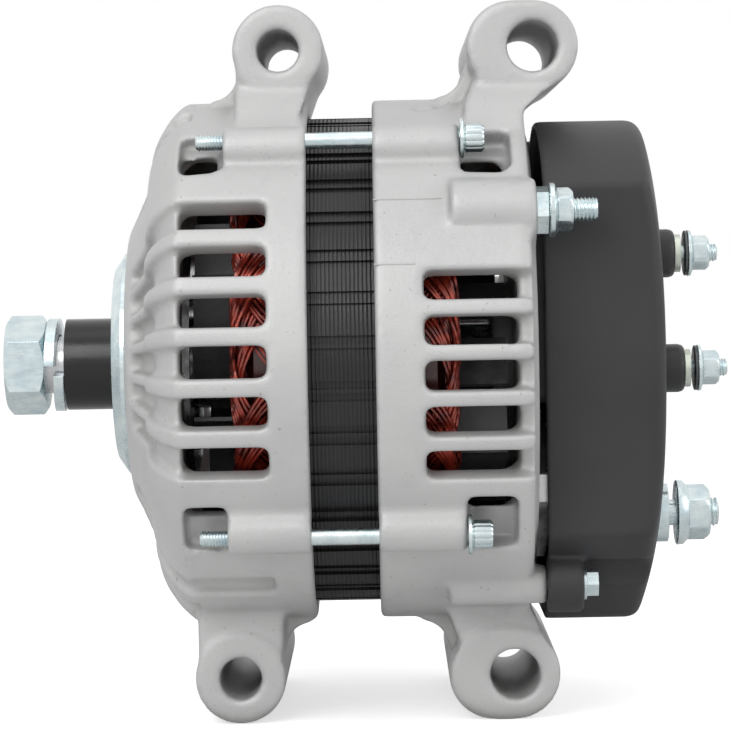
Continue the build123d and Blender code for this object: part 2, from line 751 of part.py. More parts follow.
# Plate that keeps the front bearing in its hub, and its screws
with BuildPart() as bearing_retainer:
    with BuildSketch(across.offset(hub_inner_x)):
        Circle(retainer_r)
        Circle(front_bearing_land_r + 3, mode=Mode.SUBTRACT)
        with PolarLocations(retainer_screw_circle_r, retainer_screws, start_angle=45):
            Circle(retainer_screw_r + fit_gap, mode=Mode.SUBTRACT)
    extrude(amount=retainer_thick)
bearing_retainer.part.label = "bearing_retainer"
export_step(bearing_retainer.part, "parts/bearing_retainer.step")

with BuildPart() as retainer_screw_set:
    with BuildSketch(across.offset(hub_inner_x - 8)):
        with PolarLocations(retainer_screw_circle_r, retainer_screws, start_angle=45):
            Circle(retainer_screw_r)
    extrude(amount=8 + retainer_thick)
    with BuildSketch(across.offset(hub_inner_x + retainer_thick)):
        with PolarLocations(retainer_screw_circle_r, retainer_screws, start_angle=45):
            Circle(retainer_head_r)
    extrude(amount=retainer_head_long)
retainer_screw_set.part.label = "retainer_screws"
export_step(retainer_screw_set.part, "parts/retainer_screws.step")

# Rotor shaft, stepped: thread, bearing seat, shoulder, pole seat, rear bearing seat and slip ring seat
fan_seat_x = pole_half + fan_plate
thread_root_x = slinger_x - collar_long + thread_root_inset
with BuildPart() as rotor_shaft:
    with BuildSketch(side):
        with BuildLine():
            Polyline(
                (nut_face_x + 0.6, 0),
                (nut_face_x + 0.6, thread_r - 1),
                (nut_face_x + 1.6, thread_r),
                (thread_root_x, thread_r),
                (thread_root_x, front_bearing_bore_r),
                (hub_inner_x, front_bearing_bore_r),
                (hub_inner_x, shoulder_r),
                (-fan_seat_x, shoulder_r),
                (-fan_seat_x, pole_bore_r),
                (fan_seat_x, pole_bore_r),
                (fan_seat_x, rear_neck_r),
                (rear_bearing_x, rear_neck_r),
                (rear_bearing_x, rear_bearing_bore_r),
                (rear_face_x, rear_bearing_bore_r),
                (rear_face_x, slip_seat_r),
                (shaft_tail_x, slip_seat_r),
                (shaft_tail_x, 0),
                close=True,
            )
        make_face()
    revolve(axis=shaft_line)
rotor_shaft.part.label = "rotor_shaft"
export_step(rotor_shaft.part, "parts/rotor_shaft.step")


def claw_pole(facing, turn):
    """One claw pole: a plate and half core with tapered claws that reach over the field coil."""
    with BuildPart() as pole:
        with BuildSketch(side):
            with BuildLine():
                Polyline(
                    (facing * pole_half, pole_bore_r + fit_gap),
                    (facing * pole_half, rotor_r - 3),
                    (facing * (pole_half - 3), rotor_r),
                    (-facing * claw_reach, rotor_r),
                    (-facing * claw_reach, claw_tip_r),
                    (facing * (pole_half - pole_plate), claw_root_r),
                    (facing * (pole_half - pole_plate), pole_core_r),
                    (0, pole_core_r),
                    (0, pole_bore_r + fit_gap),
                    close=True,
                )
            make_face()
        revolve(axis=shaft_line)
        for claw in range(claws):
            with BuildSketch(outward(turn + 360 / claws * claw, 0, rotor_r + 3)):
                with BuildLine():
                    Polyline(
                        (facing * (pole_half + 1), -claw_gap_root / 2),
                        (facing * (pole_half + 1), claw_gap_root / 2),
                        (-facing * (claw_reach + 1), claw_gap_tip / 2),
                        (-facing * (claw_reach + 1), -claw_gap_tip / 2),
                        close=True,
                    )
                make_face()
        extrude(amount=-(rotor_r + 3 - claw_root_r), mode=Mode.SUBTRACT)
    return pole


front_claw_pole = claw_pole(-1, 0)
front_claw_pole.part.label = "front_claw_pole"
export_step(front_claw_pole.part, "parts/front_claw_pole.step")
rear_claw_pole = claw_pole(1, 180 / claws)
rear_claw_pole.part.label = "rear_claw_pole"
export_step(rear_claw_pole.part, "parts/rear_claw_pole.step")
coil_half = pole_half - pole_plate - 0.3
field_coil = ring(-coil_half, coil_half, coil_r, pole_core_r + 0.1)
field_coil.part.label = "field_coil"
export_step(field_coil.part, "parts/field_coil.step")


def fan(facing, reach):
    """A pressed fan: a plate on the pole's face with leaning blades round its edge."""
    lean = math.radians(blade_lean)
    blade_end_r = math.sqrt(fan_r ** 2 - (blade_long / 2 * math.sin(lean)) ** 2)
    blade_middle_r = blade_end_r - blade_long / 2 * math.cos(lean) - blade_thick / 2
    with BuildPart() as wheel:
        with BuildSketch(across.offset(facing * pole_half)):
            Circle(fan_r)
            Circle(pole_bore_r + fit_gap, mode=Mode.SUBTRACT)
        extrude(amount=facing * fan_plate)
        with BuildSketch(across.offset(facing * fan_seat_x)):
            with PolarLocations(blade_middle_r, fan_blades):
                Rectangle(blade_long, blade_thick, rotation=facing * blade_lean)
        extrude(amount=facing * (reach - fan_seat_x))
    return wheel


front_fan = fan(-1, front_fan_reach)
front_fan.part.label = "front_fan"
export_step(front_fan.part, "parts/front_fan.step")
rear_fan = fan(1, rear_fan_reach)
rear_fan.part.label = "rear_fan"
export_step(rear_fan.part, "parts/rear_fan.step")

# Slip rings on their insulating sleeve
sleeve_x = (slip_ring_x[0] - slip_ring_wide, slip_ring_x[1] + slip_ring_wide / 2 + 1)
slip_ring_sleeve = ring(sleeve_x[0], sleeve_x[1], slip_sleeve_r, slip_seat_r + fit_gap)
slip_ring_sleeve.part.label = "slip_ring_sleeve"
export_step(slip_ring_sleeve.part, "parts/slip_ring_sleeve.step")
with BuildPart() as slip_rings:
    for ring_x in slip_ring_x:
        with BuildSketch(across.offset(ring_x - slip_ring_wide / 2)):
            Circle(slip_ring_r)
            Circle(slip_sleeve_r + fit_gap, mode=Mode.SUBTRACT)
    extrude(amount=slip_ring_wide)
slip_rings.part.label = "slip_rings"
export_step(slip_rings.part, "parts/slip_rings.step")

# Drive end of the shaft: spacer against the bearing, dished slinger disc, collar, spring washer and nut
bearing_spacer = ring(
    slinger_x + slinger_thick, front_bearing_x, front_bearing_land_r - 1, front_bearing_bore_r + fit_gap
)
bearing_spacer.part.label = "bearing_spacer"
export_step(bearing_spacer.part, "parts/bearing_spacer.step")
with BuildPart() as slinger_disc:
    with BuildSketch(side):
        with BuildLine():
            Polyline(
                (slinger_x, front_bearing_bore_r + fit_gap),
                (slinger_x, slinger_r - 5),
                (slinger_x + slinger_dish, slinger_r),
                (slinger_x + slinger_dish + slinger_thick, slinger_r),
                (slinger_x + slinger_thick, slinger_r - 6),
                (slinger_x + slinger_thick, front_bearing_bore_r + fit_gap),
                close=True,
            )
        make_face()
    revolve(axis=shaft_line)
slinger_disc.part.label = "slinger_disc"
export_step(slinger_disc.part, "parts/slinger_disc.step")
shaft_collar = ring(slinger_x - collar_long, slinger_x, collar_r, front_bearing_bore_r + fit_gap)
shaft_collar.part.label = "shaft_collar"
export_step(shaft_collar.part, "parts/shaft_collar.step")

# Spring washer: one turn of a helix with its ends apart
washer_mid_r = (washer_r + washer_bore_r) / 2
washer_x = slinger_x - collar_long - washer_spring - washer_thick / 2
washer_start = (mid_x + washer_x, 0, shaft_height)
with BuildPart() as lock_washer:
    with BuildLine():
        coil_path = Helix(
            pitch=washer_spring,
            height=washer_spring * 0.965,
            radius=washer_mid_r,
            center=washer_start,
            direction=(1, 0, 0),
            lefthand=True,
        )
    with BuildSketch(Plane(origin=coil_path @ 0, x_dir=(1, 0, 0), z_dir=coil_path % 0)):
        Rectangle(washer_thick * 0.96, washer_r - washer_bore_r)
    sweep(path=coil_path, is_frenet=True)
lock_washer.part = lock_washer.part.rotate(shaft_line, 90)
lock_washer.part.label = "lock_washer"
export_step(lock_washer.part, "parts/lock_washer.step")

with BuildPart() as shaft_nut:
    with BuildSketch(across.offset(nut_face_x)):
        RegularPolygon(nut_flats / 2, 6, major_radius=False, rotation=30)
    extrude(amount=nut_long)
    corner_r = nut_flats / 2 / math.cos(math.radians(30))
    with BuildSketch(side):
        with BuildLine():
            Polyline(
                (nut_face_x, 0),
                (nut_face_x, corner_r - nut_chamfer * 1.4),
                (nut_face_x + nut_chamfer, corner_r),
                (nut_face_x + nut_long - nut_chamfer, corner_r),
                (nut_face_x + nut_long, corner_r - nut_chamfer * 1.4),
                (nut_face_x + nut_long, 0),
                close=True,
            )
        make_face()
    revolve(axis=shaft_line, mode=Mode.INTERSECT)
    with BuildSketch(across.offset(nut_face_x)):
        Circle(thread_r + fit_gap)
    extrude(amount=nut_long, mode=Mode.SUBTRACT)
shaft_nut.part.label = "shaft_nut"
export_step(shaft_nut.part, "parts/shaft_nut.step")


# Rear cover: moulded shell with a domed back, a flat near side and a deeper lower edge
def cover_block(wall):
    """The cover's outer form drawn in by a wall thickness."""
    with BuildPart() as block:
        with BuildSketch(across.offset(cover_front_x)) as outline:
            Circle(cover_r)
            with Locations((0, -cover_depth / 2 - 20)):
                RectangleRounded(cover_skirt, cover_depth - 40, 8)
            make_hull()
            with Locations((-cover_flat - 50, 0)):
                Rectangle(100, 300, mode=Mode.SUBTRACT)
            if wall > 0:
                offset(amount=-wall, mode=Mode.REPLACE)
        extrude(amount=cover_back_x - cover_front_x)
        with BuildSketch(side):
            back_x = cover_back_x - wall
            dome_points = [(back_x - fall, cover_depth + beyond) for fall, beyond in cover_dome]
            with BuildLine():
                Spline((back_x, 0), *dome_points, tangents=((0, 1), (-0.4, 1)))
                Polyline(dome_points[-1], (cover_front_x, dome_points[-1][1]), (cover_front_x, 0), (back_x, 0))
            make_face()
        revolve(axis=shaft_line, mode=Mode.INTERSECT)
    return block.part


with BuildPart() as cover_outside:
    add(cover_block(0))
    fillet(cover_outside.faces().sort_by(Axis.X)[-1].edges(), cover_round)
cover_inside = cover_block(cover_wall)
with BuildPart() as screw_wells:
    with BuildSketch(across.offset(lug_top_x)):
        with Locations(*cover_screw_places):
            Circle(lug_pocket_r + cover_wall)
    extrude(amount=cover_back_x - lug_top_x)
    add(cover_outside.part, mode=Mode.INTERSECT)
with BuildPart() as rear_cover:
    add(cover_outside.part)
    with BuildSketch(across.offset(lug_seat_x)):
        with Locations(*cover_screw_places):
            Circle(lug_r)
    extrude(amount=lug_top_x - lug_seat_x)
    add(cover_inside, mode=Mode.SUBTRACT)
    with BuildSketch(across.offset(lug_seat_x)):
        with Locations(*cover_screw_places):
            Circle(lug_r)
    extrude(amount=lug_top_x - lug_seat_x)
    add(screw_wells.part)
    with BuildSketch(across.offset(lug_top_x)):
        with Locations(*cover_screw_places):
            Circle(lug_pocket_r)
    extrude(amount=cover_back_x - lug_top_x, mode=Mode.SUBTRACT)
    with BuildSketch(across.offset(lug_seat_x)):
        with Locations(*cover_screw_places):
            Circle(cover_screw_r + 0.2)
    extrude(amount=lug_top_x - lug_seat_x, mode=Mode.SUBTRACT)
    with BuildSketch(across.offset(cover_back_x - 12)):
        for height in terminal_heights:
            with Locations((terminal_y, height)):
                Circle(insulator_r + 0.3)
        with Locations((output_y, output_z)):
            Circle(output_spacer_r + 0.4)
    extrude(amount=12, mode=Mode.SUBTRACT)
rear_cover.part.label = "rear_cover"
export_step(rear_cover.part, "parts/rear_cover.step")

with BuildPart() as cover_screws:
    with BuildSketch(across.offset(cover_screw_depth_x)):
        with Locations(*cover_screw_places):
            Circle(cover_screw_r)
    extrude(amount=lug_top_x - cover_screw_depth_x)
    with BuildSketch(across.offset(lug_top_x)):
        with Locations(*cover_screw_places):
            Circle(cover_screw_head_r + 0.8)
    extrude(amount=1)
    with BuildSketch(across.offset(lug_top_x + 1)):
        with Locations(*cover_screw_places):
            RegularPolygon(cover_screw_head_r, 6)
    extrude(amount=cover_screw_head_long - 1)
cover_screws.part.label = "cover_screws"
export_step(cover_screws.part, "parts/cover_screws.step")


# Rectifier: two aluminium plates held apart by insulating posts, each carrying three diodes
def heat_sink(x, thickness):
    """A rectifier plate: part of a ring, cut flat on the near side."""
    with BuildPart() as plate:
        with BuildSketch(across.offset(x)):
            with BuildLine():
                inner = CenterArc((0, 0), plate_r[0], plate_arc[0], plate_arc[1] - plate_arc[0])
                outer = CenterArc((0, 0), plate_r[1], plate_arc[0], plate_arc[1] - plate_arc[0])
                Line(inner @ 0, outer @ 0)
                Line(inner @ 1, outer @ 1)
            make_face()
            with Locations((-plate_flat - 30, 0)):
                Rectangle(60, 200, mode=Mode.SUBTRACT)
        extrude(amount=thickness)
    return plate


negative_heat_sink = heat_sink(rear_face_x, negative_plate_thick)
negative_heat_sink.part.label = "negative_heat_sink"
export_step(negative_heat_sink.part, "parts/negative_heat_sink.step")

with BuildPart() as positive_heat_sink:
    add(heat_sink(positive_plate_x, positive_plate_thick).part)
    with BuildSketch(across.offset(positive_plate_x)):
        with Locations((output_y, output_z)):
            Circle(output_stud_r + fit_gap)
    extrude(amount=positive_plate_thick, mode=Mode.SUBTRACT)
positive_heat_sink.part.label = "positive_heat_sink"
export_step(positive_heat_sink.part, "parts/positive_heat_sink.step")

with BuildPart() as diodes:
    for plate_top in (rear_face_x + negative_plate_thick, positive_plate_x + positive_plate_thick):
        for angle in diode_angles:
            with BuildSketch(across.offset(plate_top)):
                with PolarLocations(diode_circle_r, 1, start_angle=angle):
                    Circle(diode_r)
    extrude(amount=diode_long)
diodes.part.label = "diodes"
export_step(diodes.part, "parts/diodes.step")

with BuildPart() as rectifier_posts:
    for angle in post_angles:
        with BuildSketch(across.offset(rear_face_x + negative_plate_thick)):
            with PolarLocations(post_circle_r, 1, start_angle=angle):
                Circle(post_r)
    extrude(amount=positive_plate_x - rear_face_x - negative_plate_thick)
rectifier_posts.part.label = "rectifier_posts"
export_step(rectifier_posts.part, "parts/rectifier_posts.step")

# Output terminal: headed stud through the positive plate, its spacer and flange nut
output_head_long = 4.0
with BuildPart() as output_stud:
    with BuildSketch(across.offset(positive_plate_x - output_head_long)):
        with Locations((output_y, output_z)):
            RegularPolygon(output_nut_flats / 2, 6, major_radius=False)
    extrude(amount=output_head_long)
    output_nut_span = (output_nut_x, output_nut_x + output_nut_long)
    output_place = (output_y, output_z)
    add(threaded_stud(
        output_place, output_nut_span, output_stud_r, output_pitch_r, positive_plate_x, output_tip_x
    ).part)
output_stud.part.label = "output_stud"
export_step(output_stud.part, "parts/output_stud.step")

with BuildPart() as output_spacer:
    with BuildSketch(across.offset(positive_plate_x + positive_plate_thick)):
        with Locations((output_y, output_z)):
            Circle(output_spacer_r)
            Circle(output_stud_r + fit_gap, mode=Mode.SUBTRACT)
    extrude(amount=output_spacer_end_x - positive_plate_x - positive_plate_thick)
output_spacer.part.label = "output_spacer"
export_step(output_spacer.part, "parts/output_spacer.step")
output_nut = flange_nut(
    output_nut_x, output_y, output_z, output_pitch_r + fit_gap,
    output_nut_flats, output_flange_r, output_flange_thick, output_nut_long,
)
output_nut.part.label = "output_nut"
export_step(output_nut.part, "parts/output_nut.step")

# Voltage regulator with its two terminals, which leave through insulators in the cover
with BuildPart() as voltage_regulator:
    box_y, box_z = regulator_box
    with BuildSketch(across.offset(rear_face_x)):
        with Locations(((box_y[0] + box_y[1]) / 2, (box_z[0] + box_z[1]) / 2)):
            RectangleRounded(box_y[1] - box_y[0], box_z[1] - box_z[0], 3)
    extrude(amount=regulator_end_x - rear_face_x)
voltage_regulator.part.label = "voltage_regulator"
export_step(voltage_regulator.part, "parts/voltage_regulator.step")

terminals = [((terminal_y, height), step) for height, step in zip(terminal_heights, terminal_steps)]
with BuildPart() as terminal_insulators:
    for place, step in terminals:
        with BuildSketch(across.offset(regulator_end_x)):
            with Locations(place):
                Circle(insulator_r)
                Circle(terminal_stud_r + fit_gap, mode=Mode.SUBTRACT)
        extrude(amount=insulator_end_x + step - regulator_end_x)
terminal_insulators.part.label = "terminal_insulators"
export_step(terminal_insulators.part, "parts/terminal_insulators.step")

with BuildPart() as terminal_studs:
    for place, step in terminals:
        nut_span = (terminal_nut_x + step, terminal_nut_x + terminal_nut_long + step)
        tip_x = terminal_tip_x + step
        add(threaded_stud(place, nut_span, terminal_stud_r, terminal_pitch_r, regulator_end_x, tip_x).part)
terminal_studs.part.label = "terminal_studs"
export_step(terminal_studs.part, "parts/terminal_studs.step")

with BuildPart() as terminal_washers:
    for place, step in terminals:
        with BuildSketch(across.offset(insulator_end_x + step)):
            with Locations(place):
                Circle(terminal_jam_r)
                Circle(terminal_stud_r + fit_gap, mode=Mode.SUBTRACT)
    extrude(amount=terminal_jam_thick)
terminal_washers.part.label = "terminal_washers"
export_step(terminal_washers.part, "parts/terminal_washers.step")

with BuildPart() as terminal_nuts:
    for (y, z), step in terminals:
        nut = flange_nut(
            terminal_nut_x + step, y, z, terminal_pitch_r + fit_gap,
            terminal_nut_flats, terminal_flange_r, terminal_flange_thick, terminal_nut_long,
        )
        add(nut.part)
terminal_nuts.part.label = "terminal_nuts"
export_step(terminal_nuts.part, "parts/terminal_nuts.step")

# Brush holder over the slip rings, with two carbon brushes and their springs
brush_slot_gap = 0.1
box_x_mid = (brush_box_x[0] + brush_box_x[1]) / 2
with BuildPart() as brush_holder:
    with BuildSketch(across.offset(brush_box_x[0])):
        with Locations((0, (brush_box_z[0] + brush_box_z[1]) / 2)):
            Rectangle(2 * brush_box_y, brush_box_z[1] - brush_box_z[0])
    extrude(amount=brush_box_x[1] - brush_box_x[0])
    for ring_x in slip_ring_x:
        with BuildSketch(side.offset(brush_deep / 2 + brush_slot_gap)):
            with Locations((ring_x, (brush_box_z[0] + brush_slot_top) / 2)):
                Rectangle(brush_wide + 2 * brush_slot_gap, brush_slot_top - brush_box_z[0])
    extrude(amount=-(brush_deep + 2 * brush_slot_gap), mode=Mode.SUBTRACT)
brush_holder.part.label = "brush_holder"
export_step(brush_holder.part, "parts/brush_holder.step")


def brush(ring_x):
    """A carbon brush, its foot hollowed to sit on the slip ring."""
    with BuildPart() as block:
        with BuildSketch(side.offset(brush_deep / 2)):
            with Locations((ring_x, brush_top / 2 + 4)):
                Rectangle(brush_wide, brush_top - 8)
        extrude(amount=-brush_deep)
        with BuildSketch(across.offset(ring_x - brush_wide)):
            Circle(slip_ring_r + running_gap)
        extrude(amount=2 * brush_wide, mode=Mode.SUBTRACT)
    return block


def brush_spring(ring_x):
    """A coil spring of square wire between a brush and the roof of its slot."""
    travel = brush_slot_top - brush_top
    pitch = (travel - brush_spring_wire) / brush_spring_turns
    foot = Plane(origin=(mid_x + ring_x, 0, shaft_height + brush_top + brush_spring_wire / 2))
    with BuildPart() as coil:
        with BuildLine(foot):
            wire_path = Helix(pitch=pitch, height=travel - brush_spring_wire, radius=brush_spring_r)
        with BuildSketch(Plane(origin=wire_path @ 0, x_dir=(1, 0, 0), z_dir=wire_path % 0)):
            Rectangle(brush_spring_wire, brush_spring_wire * 0.9)
        sweep(path=wire_path, is_frenet=True)
    return coil


front_brush = brush(slip_ring_x[0])
front_brush.part.label = "front_brush"
export_step(front_brush.part, "parts/front_brush.step")
rear_brush = brush(slip_ring_x[1])
rear_brush.part.label = "rear_brush"
export_step(rear_brush.part, "parts/rear_brush.step")
front_brush_spring = brush_spring(slip_ring_x[0])
front_brush_spring.part.label = "front_brush_spring"
export_step(front_brush_spring.part, "parts/front_brush_spring.step")
rear_brush_spring = brush_spring(slip_ring_x[1])
rear_brush_spring.part.label = "rear_brush_spring"
export_step(rear_brush_spring.part, "parts/rear_brush_spring.step")

# Ground terminal: stud in its boss, jam nut and flange nut
ground_nut_span = (ground_boss_x[1], ground_nut_x + ground_nut_long)
ground_stud = threaded_stud(
    (ground_y, ground_z), ground_nut_span, ground_stud_r, ground_pitch_r, ground_boss_x[1] - 11, ground_tip_x
)
ground_stud.part.label = "ground_stud"
export_step(ground_stud.part, "parts/ground_stud.step")

with BuildPart() as ground_jam_nut:
    with BuildSketch(across.offset(ground_boss_x[1])):
        with Locations((ground_y, ground_z)):
            RegularPolygon(ground_jam_flats / 2, 6, major_radius=False, rotation=15)
            Circle(ground_pitch_r + fit_gap, mode=Mode.SUBTRACT)
    extrude(amount=ground_jam_thick)
ground_jam_nut.part.label = "ground_jam_nut"
export_step(ground_jam_nut.part, "parts/ground_jam_nut.step")
ground_nut = flange_nut(
    ground_nut_x, ground_y, ground_z, ground_pitch_r + fit_gap,
    ground_nut_flats, ground_flange_r, ground_flange_thick, ground_nut_long,
)
ground_nut.part.label = "ground_nut"
export_step(ground_nut.part, "parts/ground_nut.step")
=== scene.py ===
import json
import math
import random

import bmesh
import bpy
from mathutils import Matrix, Vector


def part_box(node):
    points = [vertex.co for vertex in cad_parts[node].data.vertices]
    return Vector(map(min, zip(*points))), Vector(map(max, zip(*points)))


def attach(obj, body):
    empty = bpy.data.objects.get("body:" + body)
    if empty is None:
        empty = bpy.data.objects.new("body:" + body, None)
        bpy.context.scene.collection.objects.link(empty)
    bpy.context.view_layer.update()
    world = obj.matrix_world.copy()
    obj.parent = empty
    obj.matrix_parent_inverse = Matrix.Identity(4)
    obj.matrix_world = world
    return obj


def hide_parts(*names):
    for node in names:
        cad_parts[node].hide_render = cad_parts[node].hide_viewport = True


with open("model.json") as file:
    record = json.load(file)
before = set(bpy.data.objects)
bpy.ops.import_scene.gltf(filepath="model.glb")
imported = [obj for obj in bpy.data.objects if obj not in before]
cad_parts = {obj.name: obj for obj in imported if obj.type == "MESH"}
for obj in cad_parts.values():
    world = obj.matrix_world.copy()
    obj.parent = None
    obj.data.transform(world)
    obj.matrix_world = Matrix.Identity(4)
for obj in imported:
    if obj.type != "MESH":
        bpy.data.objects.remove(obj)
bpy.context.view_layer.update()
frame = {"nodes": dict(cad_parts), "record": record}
nodes = frame["nodes"]
scene = bpy.context.scene
MM = 0.001

# How many sides a turned piece gets: few for thin shanks, more for flanges, most for corners and large rings
COARSE = 32
THREADED = 40
SMALL = 48
ROUND = 64
FINE = 96

# The shaft's line, read from the frame: the middle of the core, at the height of the shaft
core_low, core_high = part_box("stator_core")
SHAFT = (core_low + core_high) / 2


def along(x, y, z):
    """A point given in millimetres from the middle of the stator, in the frame's metres."""
    return SHAFT + Vector((x, y, z)) * MM


# Camera: the photograph's view, worked out from its vanishing point, its tilt and the fasteners' scale
PHOTO_SIZE = 730
SENSOR = 36.0
CAMERA_DISTANCE = 1.05
METRES_PER_PIXEL = 0.35 * MM
FOCAL_PIXELS = CAMERA_DISTANCE / METRES_PER_PIXEL
YAW = math.radians(0.4)
PITCH = math.radians(2.2)
ROLL = math.radians(1.1)
STATOR_PIXEL = (345.2, 359.3)


def make_camera():
    """Looks along +Y a little from the left and above, rolled so that the shaft rises to the right."""
    forward = Vector((-math.sin(YAW) * math.cos(PITCH), math.cos(YAW) * math.cos(PITCH), -math.sin(PITCH)))
    level = Vector((math.cos(YAW), math.sin(YAW), 0))
    rise = level.cross(forward)
    right = level * math.cos(ROLL) - rise * math.sin(ROLL)
    up = rise * math.cos(ROLL) + level * math.sin(ROLL)
    across = (STATOR_PIXEL[0] - PHOTO_SIZE / 2) / FOCAL_PIXELS
    above = (PHOTO_SIZE / 2 - STATOR_PIXEL[1]) / FOCAL_PIXELS
    place = SHAFT - CAMERA_DISTANCE * (forward + right * across + up * above)
    data = bpy.data.cameras.new("camera")
    data.sensor_width = SENSOR
    data.lens = FOCAL_PIXELS / PHOTO_SIZE * SENSOR
    data.clip_start = 0.01
    camera = bpy.data.objects.new("camera", data)
    camera.matrix_world = Matrix((
        (right.x, up.x, -forward.x, place.x),
        (right.y, up.y, -forward.y, place.y),
        (right.z, up.z, -forward.z, place.z),
        (0, 0, 0, 1),
    ))
    scene.collection.objects.link(camera)
    scene.camera = camera


make_camera()


class Shade:
    """A material under construction: its node tree, its principled shader and short ways to add nodes."""

    def __init__(self, name, color, metallic, roughness):
        self.material = bpy.data.materials.new(name)
        self.material.use_nodes = True
        self.tree = self.material.node_tree
        self.shader = self.tree.nodes["Principled BSDF"]
        self.shader.inputs["Base Color"].default_value = (*color, 1)
        self.shader.inputs["Metallic"].default_value = metallic
        self.shader.inputs["Roughness"].default_value = roughness
        self.coordinates = self.add("ShaderNodeTexCoord").outputs["Object"]

    def add(self, kind, **values):
        node = self.tree.nodes.new(kind)
        for key, value in values.items():
            setattr(node, key, value)
        return node

    def link(self, source, target):
        self.tree.links.new(source, target)

    def noise(self, scale, detail=3, stretch=(1, 1, 1), roughness=0.5):
        """A noise value between 0 and 1 over the object's place; scale is in repeats per metre."""
        mapping = self.add("ShaderNodeMapping")
        mapping.inputs["Scale"].default_value = stretch
        self.link(self.coordinates, mapping.inputs["Vector"])
        node = self.add("ShaderNodeTexNoise")
        node.inputs["Scale"].default_value = scale
        node.inputs["Detail"].default_value = detail
        node.inputs["Roughness"].default_value = roughness
        self.link(mapping.outputs["Vector"], node.inputs["Vector"])
        return node.outputs["Fac"]

    def ramp(self, value, low, high, color_low, color_high):
        """Turns a value into a colour between two colours, from low to high."""
        node = self.add("ShaderNodeValToRGB")
        node.color_ramp.elements[0].position = low
        node.color_ramp.elements[1].position = high
        node.color_ramp.elements[0].color = (*color_low, 1)
        node.color_ramp.elements[1].color = (*color_high, 1)
        self.link(value, node.inputs["Fac"])
        return node.outputs["Color"]

    def span(self, value, low, high, out_low, out_high):
        """Maps a value from one range to another."""
        node = self.add("ShaderNodeMapRange")
        node.inputs["From Min"].default_value = low
        node.inputs["From Max"].default_value = high
        node.inputs["To Min"].default_value = out_low
        node.inputs["To Max"].default_value = out_high
        self.link(value, node.inputs["Value"])
        return node.outputs["Result"]

    def mix(self, factor, color_a, color_b):
        """Mixes two colours by a factor socket."""
        node = self.add("ShaderNodeMix", data_type="RGBA")
        self.link(factor, node.inputs["Factor"])
        for socket, value in ((node.inputs[6], color_a), (node.inputs[7], color_b)):
            if isinstance(value, tuple):
                socket.default_value = (*value, 1)
            else:
                self.link(value, socket)
        return node.outputs[2]

    def surface(self, heights, edge_radius=0.0):
        """Adds bumps, each a (height socket, depth in metres) pair, over softened edges."""
        normal = None
        if edge_radius > 0:
            bevel = self.add("ShaderNodeBevel", samples=4)
            bevel.inputs["Radius"].default_value = edge_radius
            normal = bevel.outputs["Normal"]
        for height, depth in heights:
            bump = self.add("ShaderNodeBump")
            bump.inputs["Strength"].default_value = 1.0
            bump.inputs["Distance"].default_value = depth
            self.link(height, bump.inputs["Height"])
            if normal is not None:
                self.link(normal, bump.inputs["Normal"])
            normal = bump.outputs["Normal"]
        self.link(normal, self.shader.inputs["Normal"])

    def color(self, socket):
        self.link(socket, self.shader.inputs["Base Color"])

    def rough(self, socket):
        self.link(socket, self.shader.inputs["Roughness"])


def toned(color, factor):
    """A darker or lighter tone of a colour."""
    return tuple(min(1, factor * part) for part in color)


def cast_aluminium():
    """Blasted casting: a fine grain, a faint mottle and small pits, with painted shade that darkens the
    recesses.
    """
    shade = Shade("cast_aluminium", (0.6, 0.6, 0.59), 0.3, 0.5)
    grain = shade.noise(2200, detail=2)
    mottle = shade.noise(30, detail=4)
    pits = shade.noise(620, detail=2)
    stains = shade.noise(75, detail=5, roughness=0.65)
    # Painted shade: ambient occlusion finds the recesses, where shade falls.
    painted_shade_ao = shade.add("ShaderNodeAmbientOcclusion", samples=8)
    painted_shade_ao.inputs["Distance"].default_value = 10 * MM
    base = shade.ramp(mottle, 0.3, 0.7, (0.53, 0.535, 0.53), (0.6, 0.6, 0.595))
    stained = shade.mix(shade.span(stains, 0.6, 0.72, 0.0, 0.35), base, (0.45, 0.46, 0.46))
    pitted = shade.mix(shade.span(pits, 0.7, 0.76, 0.0, 0.7), stained, (0.3, 0.3, 0.29))
    # Painted shade: the casting turns darker the deeper it lies in a recess.
    painted_hollow_shade = shade.span(painted_shade_ao.outputs["AO"], 0.45, 0.95, 0.6, 0.0)
    shade.color(shade.mix(painted_hollow_shade, pitted, (0.26, 0.26, 0.25)))
    shade.rough(shade.span(mottle, 0.3, 0.7, 0.45, 0.57))
    shade.surface([(grain, 0.00012), (pits, 0.0001), (mottle, 0.0006)])
    return shade.material


def zinc():
    """Pale bluish plating with faint scratches that run the shaft's way."""
    color = (0.62, 0.73, 0.77)
    shade = Shade("zinc", color, 1.0, 0.27)
    tint = shade.noise(160, detail=3)
    scratches = shade.noise(900, detail=2, stretch=(0.25, 1, 1))
    shade.color(shade.ramp(tint, 0.35, 0.66, toned(color, 0.9), (0.72, 0.79, 0.79)))
    shade.rough(shade.span(scratches, 0.3, 0.7, 0.2, 0.36))
    shade.surface([(scratches, 0.00004)], edge_radius=0.0004)
    return shade.material


def plain_metal(name, color, roughness, metallic=1.0):
    """Metal under a thin film of oil or oxide that changes its tone and its shine a little."""
    shade = Shade(name, color, metallic, roughness)
    film = shade.noise(240, detail=3)
    shade.color(shade.ramp(film, 0.3, 0.7, toned(color, 0.8), toned(color, 1.1)))
    shade.rough(shade.span(film, 0.3, 0.7, roughness * 0.85, roughness * 1.2))
    shade.surface([(shade.noise(1500, detail=2), 0.00004)], edge_radius=0.0003)
    return shade.material


LAMINATION = 0.65 * MM
LAMINATION_FIT = 0.95


